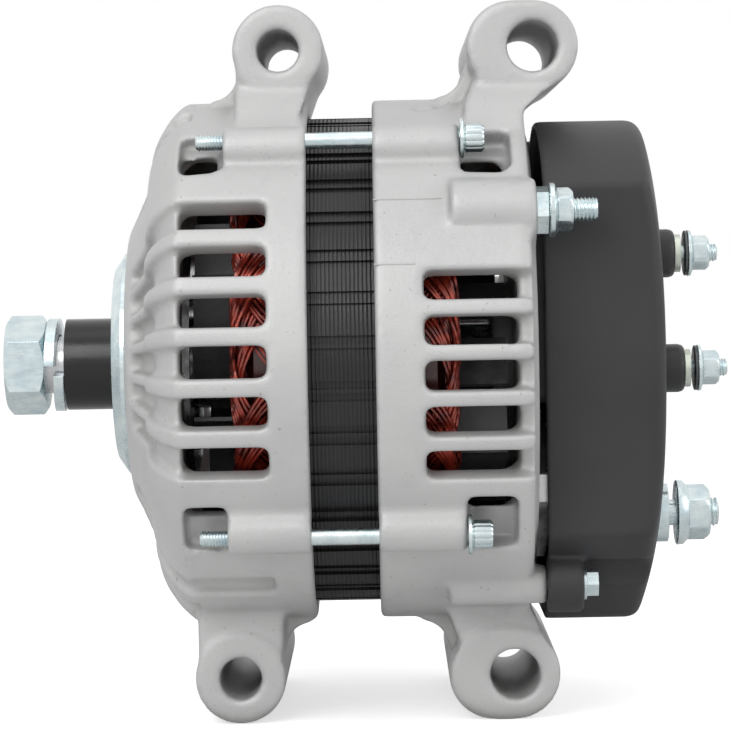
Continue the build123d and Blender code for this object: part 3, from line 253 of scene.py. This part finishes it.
def stator_steel():
    """Black varnished laminations: fine lines across the stack, with a light sheen."""
    shade = Shade("stator_steel", (0.012, 0.012, 0.013), 0.2, 0.36)
    wave = shade.add("ShaderNodeTexWave", wave_type="BANDS", bands_direction="X", wave_profile="SIN")
    wave.inputs["Scale"].default_value = 1 / LAMINATION / (2 * math.pi) * LAMINATION_FIT
    wave.inputs["Distortion"].default_value = 0.6
    wave.inputs["Detail"].default_value = 1.0
    shade.link(shade.coordinates, wave.inputs["Vector"])
    patches = shade.noise(90, detail=3, stretch=(0.3, 1, 1))
    lines = wave.outputs["Fac"]
    dark = shade.mix(shade.span(patches, 0.35, 0.7, 0.0, 1.0), (0.006, 0.006, 0.007), (0.014, 0.014, 0.015))
    shade.color(shade.mix(shade.span(lines, 0.55, 1.0, 0.0, 0.5), dark, (0.035, 0.035, 0.037)))
    shade.rough(shade.span(patches, 0.3, 0.7, 0.3, 0.48))
    grain = shade.noise(700, detail=2)
    shade.surface([(lines, 0.00016), (grain, 0.00006)], edge_radius=0.0002)
    return shade.material


def enamelled_copper(name, dark, light):
    """Enamelled wire: its enamel changes tone from coil to coil and shines under a clear coat."""
    shade = Shade(name, light, 0.4, 0.3)
    shade.color(shade.ramp(shade.noise(260, detail=3), 0.34, 0.62, dark, light))
    shade.shader.inputs["Coat Weight"].default_value = 0.8
    shade.shader.inputs["Coat Roughness"].default_value = 0.14
    shade.surface([(shade.noise(420, detail=2), 0.00012)])
    return shade.material


def moulded(name, color, roughness):
    """Matt black moulding with a fine spark-eroded grain."""
    shade = Shade(name, color, 0.0, roughness)
    shade.shader.inputs["Specular IOR Level"].default_value = 0.42
    cloud = shade.noise(22, detail=3)
    shade.color(shade.ramp(cloud, 0.3, 0.7, toned(color, 0.85), toned(color, 1.2)))
    shade.rough(shade.span(cloud, 0.3, 0.7, roughness * 0.92, roughness * 1.1))
    grain = shade.noise(1800, detail=2)
    waves = shade.noise(60, detail=2)
    shade.surface([(grain, 0.00006), (waves, 0.0002)], edge_radius=0.0007)
    return shade.material


looks = {
    "cast_aluminium": cast_aluminium(),
    "machined_aluminium": plain_metal("machined_aluminium", (0.66, 0.66, 0.67), 0.3),
    "stator_steel": stator_steel(),
    "copper": enamelled_copper("copper", (0.13, 0.011, 0.008), (0.52, 0.06, 0.03)),
    "zinc": zinc(),
    "bearing_steel": plain_metal("bearing_steel", (0.56, 0.56, 0.57), 0.25),
    "pole_steel": plain_metal("pole_steel", (0.09, 0.09, 0.095), 0.45, 0.7),
    "fan_steel": plain_metal("fan_steel", (0.12, 0.12, 0.125), 0.42, 0.6),
    "collar_black": plain_metal("collar_black", (0.007, 0.007, 0.008), 0.22, 0.1),
    "cover_plastic": moulded("cover_plastic", (0.032, 0.032, 0.034), 0.5),
    "moulded_plastic": moulded("moulded_plastic", (0.03, 0.03, 0.03), 0.42),
    "slip_ring_copper": plain_metal("slip_ring_copper", (0.72, 0.36, 0.2), 0.22),
    "brush_carbon": moulded("brush_carbon", (0.03, 0.03, 0.032), 0.6),
    "spring_steel": plain_metal("spring_steel", (0.5, 0.5, 0.51), 0.3),
    "diode_metal": plain_metal("diode_metal", (0.62, 0.58, 0.5), 0.3),
}
SHARP_EDGE = 32
slot_of = {part["node"]: part["material_slot"] for part in frame["record"]["subparts"]}
for node_name, node_object in nodes.items():
    node_object.data.materials.clear()
    node_object.data.materials.append(looks[slot_of[node_name]])
    for face in node_object.data.polygons:
        face.use_smooth = True
    node_object.data.set_sharp_from_angle(angle=math.radians(SHARP_EDGE))

nodes["terminal_washers"].data.materials[0] = plain_metal("pale_washer", (0.62, 0.66, 0.58), 0.4)
dark_washer = plain_metal("dark_washer", (0.1, 0.11, 0.11), 0.35)
# Near-black copper for the ring behind the wires: painted shade for the shadow between the bundles.
shaded_copper = enamelled_copper("shaded_copper", (0.035, 0.006, 0.005), (0.07, 0.012, 0.009))


def add_piece(name, mesh, slot, covers=None, material=None, sharp_angle=40):
    """Turns a finished mesh into a piece that stays with the stator, in place of any node that it covers."""
    bmesh.ops.recalc_face_normals(mesh, faces=mesh.faces)
    data = bpy.data.meshes.new(name)
    mesh.to_mesh(data)
    mesh.free()
    data.materials.append(material or looks[slot])
    for face in data.polygons:
        face.use_smooth = True
    data.set_sharp_from_angle(angle=math.radians(sharp_angle))
    piece = bpy.data.objects.new(name, data)
    scene.collection.objects.link(piece)
    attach(piece, "stator_body")
    if covers:
        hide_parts(covers)
    return piece


def join_rings(mesh, rings, closed):
    """Joins rings of points into a tube with a cap at each end, or a closed one into a ring."""
    pairs = list(zip(rings, rings[1:]))
    if closed:
        pairs.append((rings[-1], rings[0]))
    for first, second in pairs:
        for step in range(len(first)):
            after = (step + 1) % len(first)
            mesh.faces.new((first[step], first[after], second[after], second[step]))
    if not closed:
        mesh.faces.new(rings[0])
        mesh.faces.new(rings[-1])


def turned(mesh, centre, profile, segments, shape=None, closed=False):
    """Turns (x, radius) points about a line along X; shape may change a radius by its place and angle."""
    rings = []
    for x, radius in profile:
        ring = []
        for step in range(segments):
            angle = 2 * math.pi * step / segments
            reach = shape(x, radius, angle) if shape else radius
            place = centre + Vector((x, reach * math.cos(angle), reach * math.sin(angle)))
            ring.append(mesh.verts.new(place))
        rings.append(ring)
    join_rings(mesh, rings, closed)


WIRE_SIDES = 6


def wire(mesh, points, radius):
    """A round wire along points that are given from the middle of the stator."""
    rings = []
    for index, point in enumerate(points):
        tangent = (points[min(index + 1, len(points) - 1)] - points[max(index - 1, 0)]).normalized()
        outward = Vector((0, point.y, point.z)).normalized()
        side = tangent.cross(outward).normalized()
        rise = side.cross(tangent)
        ring = []
        for step in range(WIRE_SIDES):
            angle = 2 * math.pi * step / WIRE_SIDES
            offset = side * math.cos(angle) + rise * math.sin(angle)
            ring.append(mesh.verts.new(SHAFT + point + offset * radius))
        rings.append(ring)
    join_rings(mesh, rings, closed=False)


def thread(pitch, depth):
    """The shape of a screw thread, for turned: a groove that climbs one pitch each turn."""
    def shape(x, radius, angle):
        return radius - depth * (0.5 - 0.5 * math.cos(2 * math.pi * x / pitch - angle))
    return shape


def polygon(sides, flats_radius):
    """The shape of a hexagon or the like, cut by a cone of the profile's own radius."""
    wedge = math.pi / sides

    def shape(x, radius, angle):
        turn = (angle + wedge) % (2 * wedge) - wedge
        return min(radius, flats_radius / math.cos(turn))
    return shape


def steps(start, end, length):
    """Places from start to end, no more than a length apart."""
    count = max(1, math.ceil(abs(end - start) / length))
    return [start + (end - start) * index / count for index in range(count + 1)]


# Castings and cover: the same shapes with the soft edges of a mould
def cutter(outline, near_y, far_y):
    """A block to cut with: an outline in millimetres seen from the near side, drawn out in depth."""
    mesh = bmesh.new()
    near = [mesh.verts.new(along(x, near_y, z)) for x, z in outline]
    far = [mesh.verts.new(along(x, far_y, z)) for x, z in outline]
    mesh.faces.new(near)
    mesh.faces.new(far)
    for index in range(len(outline)):
        after = (index + 1) % len(outline)
        mesh.faces.new((near[index], near[after], far[after], far[index]))
    bmesh.ops.recalc_face_normals(mesh, faces=mesh.faces)
    data = bpy.data.meshes.new("cutter")
    mesh.to_mesh(data)
    mesh.free()
    block = bpy.data.objects.new("cutter", data)
    scene.collection.objects.link(block)
    return block


EAR_REACH = 16.5 * MM
EAR_CHAMFER = 0.8 * MM
FACE_BAND = 0.9 * MM
FACE_ROUNDS = 2
CASTING_VOXEL = 1.1 * MM
CASTING_ROUNDS = 5
COVER_VOXEL = 1.0 * MM
COVER_ROUNDS = 4
ear_bores = [mount for mount in frame["record"]["mounts"] if mount["kind"] == "bore"]


def is_machined(place):
    """True on the flat faces and in the bores of the ears, which are machined after casting."""
    for bore in ear_bores:
        x, y, z = bore["pos_m"]
        from_axis = math.hypot(place.x - x, place.z - z)
        to_face = abs(abs(place.y - y) - bore["dims"]["length_mm"] * MM / 2 - EAR_CHAMFER)
        in_bore = from_axis < bore["dims"]["r_mm"] * MM + FACE_BAND
        on_face = from_axis < EAR_REACH and to_face < FACE_BAND
        if in_bore or on_face:
            return True
    return False


def soften(node_name, voxel, rounds, cutters=()):
    """Covers a node with a copy of its mesh whose edges are rounded, as casting or moulding leaves them."""
    source = nodes[node_name]
    copy = bpy.data.objects.new(node_name + "_raw", source.data.copy())
    copy.matrix_world = source.matrix_world
    scene.collection.objects.link(copy)
    for block in cutters:
        cut = copy.modifiers.new("cut", "BOOLEAN")
        cut.operation = "DIFFERENCE"
        cut.solver = "EXACT"
        cut.object = block
    remesh = copy.modifiers.new("even", "REMESH")
    remesh.mode = "VOXEL"
    remesh.voxel_size = voxel
    evaluated = copy.evaluated_get(bpy.context.evaluated_depsgraph_get())
    mesh = bmesh.new()
    mesh.from_mesh(evaluated.to_mesh())
    bmesh.ops.transform(mesh, matrix=copy.matrix_world, verts=mesh.verts)
    for used in (copy, *cutters):
        bpy.data.objects.remove(used)
    cast = [vertex for vertex in mesh.verts if not is_machined(vertex.co)]
    for number in range(rounds):
        bmesh.ops.smooth_vert(
            mesh, verts=mesh.verts if number < FACE_ROUNDS else cast, factor=0.5,
            use_axis_x=True, use_axis_y=True, use_axis_z=True,
        )
    add_piece(node_name + "_skin", mesh, slot_of[node_name], node_name, sharp_angle=180)


# The openings under the upper bolt's tip and head, and the slit where the rear top arm springs from its
# ring, each as (x, z) corners in millimetres from the middle of the stator
tip_window = [(-53.0, 63.4), (-40.5, 64.6), (-40.5, 69.6), (-53.0, 68.4)]
head_window = [(40.0, 63.4), (55.0, 62.6), (55.0, 67.0), (46.0, 67.8), (40.0, 68.6)]
arm_slit = [(24.5, 84.3), (32.2, 84.6), (36.8, 87.2), (36.4, 88.9), (31.8, 86.5), (24.5, 86.1)]
rear_cutters = [cutter(arm_slit, near_y=-60.0, far_y=-5.0), cutter(head_window, near_y=-100.0, far_y=-48.0)]
soften("drive_end_housing", CASTING_VOXEL, CASTING_ROUNDS, [cutter(tip_window, near_y=-100.0, far_y=-45.0)])
soften("rear_housing", CASTING_VOXEL, CASTING_ROUNDS, rear_cutters)
soften("rear_cover", COVER_VOXEL, COVER_ROUNDS)


# Rear fan: its blades reach further towards the bearing, so that little light passes behind them
BLADE_STRETCH = 9.5 * MM
BLADE_EDGE = 1 * MM


def make_rear_fan():
    """The rear fan with its blades' free edges drawn out, turning with the rotor."""
    edge_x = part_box("rear_fan")[1].x - BLADE_EDGE
    source = nodes["rear_fan"]
    mesh = bmesh.new()
    mesh.from_mesh(source.data)
    bmesh.ops.transform(mesh, matrix=source.matrix_world, verts=mesh.verts)
    for vertex in mesh.verts:
        if vertex.co.x > edge_x:
            vertex.co.x += BLADE_STRETCH
    piece = add_piece("rear_fan_blades", mesh, slot_of["rear_fan"], "rear_fan")
    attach(piece, "rotor")


make_rear_fan()


# Ridges where the mould's halves met, each as (start x, end x, height), and the ring that carries them,
# in millimetres from the middle of the stator
MOULD_LINES = ((11.0, 38.0, 54.4), (11.0, 24.0, 33.4))
MOULD_LINE_STEP = 3.0
CLAMPING_RING_R = 89.95
MOULD_LINE_R = 0.28 * MM


def make_mould_lines():
    """Thin ridges along the near side of the rear housing's clamping ring."""
    mesh = bmesh.new()
    for start_x, end_x, height in MOULD_LINES:
        near_y = -math.sqrt(CLAMPING_RING_R ** 2 - height ** 2)
        places = steps(start_x, end_x, MOULD_LINE_STEP)
        wire(mesh, [Vector((x * MM, near_y * MM, height * MM)) for x in places], MOULD_LINE_R)
    add_piece("mould_lines", mesh, "cast_aluminium")


# Winding: bundles of wire that cross over each other at both ends of the core
WIRE_R = 0.62 * MM
WIRES = 9
WIRE_TURN = math.radians(1.75)
WIRE_SWEEP = math.radians(48)
BUNDLES = 18
BUNDLE_TURN = math.radians(20)
OVER_DEPTH = 0.3 * MM
UNDER_DEPTH = 2.2 * MM
LAYERS = 2
LAYER_DROP = 3.8 * MM
LAYER_SETBACK = 2 * MM
SLOT_DEPTH = 4 * MM
CROWN_IN_R = 63.5 * MM
TURN_STEPS = 16
CROWN_FLATNESS = 0.6
CROSS_START = 0.38
CROSS_LENGTH = 0.24
BACKING_DEPTH = 2 * MM
BACKING_DROP = 6.5 * MM
BACKING_SETBACK = 5.5 * MM
BACKING_IN_R = 65.5 * MM
BACKING_ROUND = 2.5 * MM

# How far single wires stray: in degrees round the shaft, and in millimetres from it and along it
ANGLE_PLAY = 0.25
DEPTH_PLAY = (-0.25, 0.15)
REACH_PLAY = 1.6
dice = random.Random(7)
winding_low, winding_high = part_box("stator_winding")
WINDING_R = (winding_high.y - winding_low.y) / 2

# Each end of the winding: where the core ends, how far its wires reach, and which way that is
winding_ends = [
    (core_low.x - SHAFT.x, winding_low.x - SHAFT.x, -1),
    (core_high.x - SHAFT.x, winding_high.x - SHAFT.x, 1),
]


def end_turn(start_x, reach_x, angle, sweep, r_out, r_in):
    """A wire's way out of one slot, over the crown and back into another."""
    points = []
    for index in range(TURN_STEPS + 1):
        part = index / TURN_STEPS
        height = math.sin(math.pi * part) ** CROWN_FLATNESS
        inward = min(1, max(0, (part - CROSS_START) / CROSS_LENGTH))
        radius = r_out + (r_in - r_out) * inward * inward * (3 - 2 * inward)
        turn = angle + sweep * part
        x = start_x + (reach_x - start_x) * height
        points.append(Vector((x, radius * math.cos(turn), radius * math.sin(turn))))
    return points


def make_bundle(mesh, core_x, reach_x, direction, bundle, layer):
    """One bundle of wires side by side, each a little out of line; every other one leans the other way."""
    lean = 1 if bundle % 2 else -1
    depth = OVER_DEPTH if lean > 0 else UNDER_DEPTH
    r_out = WINDING_R - WIRE_R - depth - layer * LAYER_DROP
    start_x = core_x - direction * SLOT_DEPTH
    for number in range(WIRES):
        angle = BUNDLE_TURN * (bundle + 0.5 * layer) + WIRE_TURN * number
        angle += math.radians(dice.uniform(-ANGLE_PLAY, ANGLE_PLAY))
        outer = r_out + dice.uniform(*DEPTH_PLAY) * MM
        crown_x = reach_x - direction * (WIRE_R + dice.uniform(0, REACH_PLAY) * MM + layer * LAYER_SETBACK)
        points = end_turn(start_x, crown_x, angle, lean * WIRE_SWEEP, outer, CROWN_IN_R + layer * MM)
        wire(mesh, points, WIRE_R)


def make_winding():
    """The single wires, and a ring of near-black copper behind them that closes the gaps between the
    bundles; its dark colour is painted shade.
    """
    mesh = bmesh.new()
    for core_x, reach_x, direction in winding_ends:
        for bundle in range(BUNDLES):
            for layer in range(LAYERS):
                make_bundle(mesh, core_x, reach_x, direction, bundle, layer)
    add_piece("winding_wires", mesh, "copper", "stator_winding")
    backing = bmesh.new()
    for core_x, reach_x, direction in winding_ends:
        near = core_x - direction * BACKING_DEPTH
        far = reach_x - direction * BACKING_SETBACK
        outer = WINDING_R - BACKING_DROP
        profile = [
            (near, BACKING_IN_R), (near, outer), (far - direction * BACKING_ROUND, outer),
            (far, outer - BACKING_ROUND), (far, BACKING_IN_R),
        ]
        turned(backing, SHAFT, profile, FINE, closed=True)
    # The ring behind the wires takes the near-black copper: painted shade.
    add_piece("winding_shaded_backing", backing, "copper", None, shaded_copper)


make_winding()


# Fasteners: screw threads, twelve-sided heads, domed ends and flange nuts
STUD_CORE = 0.9
STUD_TIP = 0.7
DOME_MIDDLE = 0.45
THREAD_DEPTH = 0.42
THREAD_STEPS = 6
TERMINAL_STEP = 2.9 * MM
LOCK_WASHER = 1.1 * MM


def axis_between(low, high):
    """The line along X through the middle of a box."""
    return Vector((0, (low.y + high.y) / 2, (low.z + high.z) / 2))


def stud(mesh, centre, start_x, nut_x, tip_x, radius, pitch, dome):
    """A stud, plain as far as its nut and threaded from there to its rounded tip."""
    turned(mesh, centre, [(start_x, radius * STUD_CORE), (nut_x, radius * STUD_CORE)], COARSE)
    profile = [(x, radius) for x in steps(nut_x, tip_x - dome, pitch / THREAD_STEPS)]
    profile += [(tip_x - dome * DOME_MIDDLE, radius * STUD_CORE), (tip_x, radius * STUD_TIP)]
    turned(mesh, centre, profile, THREADED, thread(pitch, THREAD_DEPTH * pitch))


def make_studs():
    """The terminals' studs, threaded from under their nuts to the tip."""
    for node_name, nut_name, radius, pitch in (
        ("output_stud", "output_nut", 5.0 * MM, 1.5 * MM),
        ("ground_stud", "ground_nut", 4.0 * MM, 1.25 * MM),
    ):
        low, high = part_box(node_name)
        nut_low, nut_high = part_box(nut_name)
        mesh = bmesh.new()
        stud(mesh, axis_between(nut_low, nut_high), low.x, nut_low.x, high.x, radius, pitch, 0.8 * MM)
        add_piece(node_name + "_thread", mesh, slot_of[node_name], node_name)
    low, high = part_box("terminal_studs")
    nut_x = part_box("terminal_nuts")[0].x
    radius = 3.0 * MM
    mesh = bmesh.new()
    for z, tip_x in ((high.z - radius, high.x - TERMINAL_STEP), (low.z + radius, high.x)):
        centre = Vector((0, (low.y + high.y) / 2, z))
        stud(mesh, centre, low.x, nut_x, tip_x, radius, 1.0 * MM, 0.7 * MM)
    add_piece("terminal_studs_thread", mesh, slot_of["terminal_studs"], "terminal_studs")


BOLTS = 4
BOLT_TURN = 36.5
BOLT_CIRCLE_R = 92.6 * MM
BOLT_R = 2.75 * MM
BOLT_PITCH = 1.0 * MM
BOLT_THREAD_DEPTH = 0.45 * MM
BOLT_THREAD_LONG = 22 * MM
BOLT_TIP = 0.6 * MM
BOLT_HEAD_LONG = 8.0 * MM
BOLT_HEAD_R = 4.7 * MM
BOLT_HEAD_CHAMFER = 0.8 * MM
BOLT_FLANGE_R = 6.6 * MM
BOLT_FLANGE_EDGE = 0.4 * MM
BOLT_FLANGE_THICK = 1.1 * MM
BOLT_FLANGE_SLOPE = 2.0 * MM
BUTTON_RISE = 0.05 * MM
SPLINE_DEPTH = 0.07
OVERLAP = 0.01 * MM


def splined(x, radius, angle):
    """The shape of a twelve-sided head, for turned."""
    return radius * (1 - SPLINE_DEPTH * (1 - abs(math.cos(6 * angle)) ** 0.5))


def bolt(mesh, centre, tip_x, end_x):
    """A through bolt: threaded shank, flange, twelve-sided head and a low round button on its end."""
    seat = end_x - BOLT_HEAD_LONG
    plain_x = tip_x + BOLT_THREAD_LONG
    threaded = steps(tip_x + BOLT_TIP, plain_x, BOLT_PITCH / THREAD_STEPS)
    turned(mesh, centre, [(x, BOLT_R) for x in threaded], COARSE, thread(BOLT_PITCH, BOLT_THREAD_DEPTH))
    turned(mesh, centre, [(tip_x, BOLT_R * 0.7), (tip_x + BOLT_TIP + OVERLAP, BOLT_R * 0.88)], COARSE)
    turned(mesh, centre, [(plain_x - 0.1 * MM, BOLT_R), (seat, BOLT_R)], COARSE)
    turned(mesh, centre, [
        (seat, BOLT_FLANGE_R * 0.95), (seat + BOLT_FLANGE_EDGE, BOLT_FLANGE_R),
        (seat + BOLT_FLANGE_THICK, BOLT_FLANGE_R), (seat + BOLT_FLANGE_SLOPE, BOLT_HEAD_R),
    ], SMALL)
    turned(mesh, centre, [
        (seat + BOLT_FLANGE_SLOPE - 0.5 * MM, BOLT_HEAD_R), (end_x - BOLT_HEAD_CHAMFER, BOLT_HEAD_R),
        (end_x, BOLT_HEAD_R * 0.86),
    ], FINE, splined)
    turned(mesh, centre, [
        (end_x - OVERLAP, BOLT_HEAD_R * 0.6), (end_x + BUTTON_RISE, BOLT_HEAD_R * 0.55),
    ], SMALL)


def make_bolts():
    """Through bolts with a twelve-sided head over a flange, threaded at their front end."""
    low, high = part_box("through_bolts")
    mesh = bmesh.new()
    for number in range(BOLTS):
        turn = math.radians(BOLT_TURN + 360 / BOLTS * number)
        y = SHAFT.y + BOLT_CIRCLE_R * math.cos(turn)
        z = SHAFT.z + BOLT_CIRCLE_R * math.sin(turn)
        bolt(mesh, Vector((0, y, z)), low.x, high.x)
    add_piece("through_bolts_detail", mesh, slot_of["through_bolts"], "through_bolts")


# Flange nuts and insulators. The points of their ends are (how far back, share of the radius): a nut's lie
# back by shares of its flats' radius, an insulator's by millimetres
FLANGE_FOOT = 0.4 * MM
FLANGE_EDGE = 0.3 * MM
FLANGE_SLOPE = 1.7
NUT_END = ((0.1, 1.06), (0, 0.95))
NUT_CORNERS_BACK = 0.22
INSULATOR_END = ((2.2, 1), (0.9, 0.96), (0.2, 0.88), (0, 0.8))


def flange_nut(mesh, centre, start_x, length, flats_r, flange_r, flange_thick):
    """A hexagon nut on a round flange, its free end rounded off by a cone."""
    turned(mesh, centre, [
        (start_x, flange_r - FLANGE_FOOT), (start_x + FLANGE_EDGE, flange_r),
        (start_x + flange_thick, flange_r * 0.98), (start_x + FLANGE_SLOPE * flange_thick, flats_r * 1.12),
    ], ROUND)
    corner_r = flats_r / math.cos(math.pi / 6)
    end_x = start_x + length
    profile = [(start_x + flange_thick * 0.8, corner_r), (end_x - NUT_CORNERS_BACK * flats_r, corner_r)]
    profile += [(end_x - back * flats_r, flats_r * share) for back, share in NUT_END]
    turned(mesh, centre, profile, FINE, polygon(6, flats_r))


def make_nuts():
    """The flange nuts on the ground stud, the output stud and the two small terminals."""
    for node_name, flats_r, flange_thick in (
        ("output_nut", 8.2 * MM, 2.4 * MM),
        ("ground_nut", 6.3 * MM, 1.7 * MM),
    ):
        low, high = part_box(node_name)
        mesh = bmesh.new()
        flange_r = (high.y - low.y) / 2
        flange_nut(mesh, axis_between(low, high), low.x, high.x - low.x, flats_r, flange_r, flange_thick)
        add_piece(node_name + "_detail", mesh, slot_of[node_name], node_name)
    low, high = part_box("terminal_nuts")
    flange_r = (high.y - low.y) / 2
    length = high.x - low.x - TERMINAL_STEP
    mesh = bmesh.new()
    washers = bmesh.new()
    for z, start_x in ((high.z - flange_r, low.x), (low.z + flange_r, low.x + TERMINAL_STEP)):
        centre = Vector((0, (low.y + high.y) / 2, z))
        flange_nut(mesh, centre, start_x, length, 5.0 * MM, flange_r, 1.2 * MM)
        turned(washers, centre, [
            (start_x - LOCK_WASHER, flange_r * 0.9), (start_x - 0.8 * LOCK_WASHER, flange_r * 0.97),
            (start_x - 0.02 * MM, flange_r * 0.97),
        ], ROUND)
    add_piece("terminal_nuts_detail", mesh, slot_of["terminal_nuts"], "terminal_nuts")
    add_piece("lock_washers", washers, slot_of["terminal_nuts"], None, dark_washer)


def make_insulators():
    """The small terminals' insulators, turned with a rounded outer end."""
    node_name = "terminal_insulators"
    low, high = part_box(node_name)
    radius = (high.y - low.y) / 2
    mesh = bmesh.new()
    for z, end_x in ((high.z - radius, high.x - TERMINAL_STEP), (low.z + radius, high.x)):
        centre = Vector((0, (low.y + high.y) / 2, z))
        profile = [(low.x, radius * 0.99)]
        profile += [(end_x - back * MM, radius * share) for back, share in INSULATOR_END]
        turned(mesh, centre, profile, ROUND)
    add_piece(node_name + "_detail", mesh, slot_of[node_name], node_name, sharp_angle=60)


make_studs()
make_nuts()
make_insulators()
make_bolts()
make_mould_lines()


# Floor, backdrop and light
FLOOR_SIZE = 6.0
FLOOR_LIFT = 0.6
SKY_LIGHT = 0.42
WHITE = (1, 1, 1, 1)


def make_floor():
    """A large white floor that glows a little towards the camera, so that it meets the white backdrop."""
    floor_mesh = bpy.data.meshes.new("floor")
    half = FLOOR_SIZE / 2
    corners = [(-half, -half, 0), (half, -half, 0), (half, half, 0), (-half, half, 0)]
    floor_mesh.from_pydata(corners, [], [(0, 1, 2, 3)])
    floor = bpy.data.objects.new("floor", floor_mesh)
    scene.collection.objects.link(floor)
    material = bpy.data.materials.new("floor")
    material.use_nodes = True
    tree = material.node_tree
    shader = tree.nodes["Principled BSDF"]
    shader.inputs["Base Color"].default_value = (0.93, 0.93, 0.93, 1)
    shader.inputs["Roughness"].default_value = 0.9
    path = tree.nodes.new("ShaderNodeLightPath")
    lift = tree.nodes.new("ShaderNodeEmission")
    dimmed = tree.nodes.new("ShaderNodeMath")
    dimmed.operation = "MULTIPLY"
    dimmed.inputs[1].default_value = FLOOR_LIFT
    tree.links.new(path.outputs["Is Camera Ray"], dimmed.inputs[0])
    tree.links.new(dimmed.outputs["Value"], lift.inputs["Strength"])
    both = tree.nodes.new("ShaderNodeAddShader")
    tree.links.new(shader.outputs["BSDF"], both.inputs[0])
    tree.links.new(lift.outputs["Emission"], both.inputs[1])
    tree.links.new(both.outputs["Shader"], tree.nodes["Material Output"].inputs["Surface"])
    floor_mesh.materials.append(material)


def make_world():
    """Soft light from all round, and a backdrop that the camera and the reflections see as pure white."""
    world = bpy.data.worlds.new("studio")
    world.use_nodes = True
    scene.world = world
    tree = world.node_tree
    background = tree.nodes["Background"]
    background.inputs["Color"].default_value = WHITE
    background.inputs["Strength"].default_value = SKY_LIGHT
    seen = tree.nodes.new("ShaderNodeBackground")
    seen.inputs["Color"].default_value = WHITE
    seen.inputs["Strength"].default_value = 1.0
    path = tree.nodes.new("ShaderNodeLightPath")
    shown = path.outputs["Is Camera Ray"]
    for ray in ("Is Glossy Ray", "Is Transmission Ray"):
        either = tree.nodes.new("ShaderNodeMath")
        either.operation = "MAXIMUM"
        tree.links.new(shown, either.inputs[0])
        tree.links.new(path.outputs[ray], either.inputs[1])
        shown = either.outputs["Value"]
    mixed = tree.nodes.new("ShaderNodeMixShader")
    tree.links.new(shown, mixed.inputs["Fac"])
    tree.links.new(background.outputs["Background"], mixed.inputs[1])
    tree.links.new(seen.outputs["Background"], mixed.inputs[2])
    tree.links.new(mixed.outputs["Shader"], tree.nodes["World Output"].inputs["Surface"])


def lamp(name, place, size, power):
    """A square area lamp aimed at the middle of the machine."""
    data = bpy.data.lights.new(name, "AREA")
    data.shape = "SQUARE"
    data.size = size
    data.energy = power
    light = bpy.data.objects.new(name, data)
    light.location = place
    light.rotation_euler = (SHAFT - Vector(place)).to_track_quat("-Z", "Y").to_euler()
    scene.collection.objects.link(light)


scene.view_settings.view_transform = "Standard"
make_floor()
make_world()
lamp("key", (-0.5, -1.0, 0.9), 0.8, 7.5)
lamp("top", (0.2, -0.1, 1.3), 0.9, 1.6)
lamp("fill", (1.2, -0.4, 0.6), 0.7, 2.6)
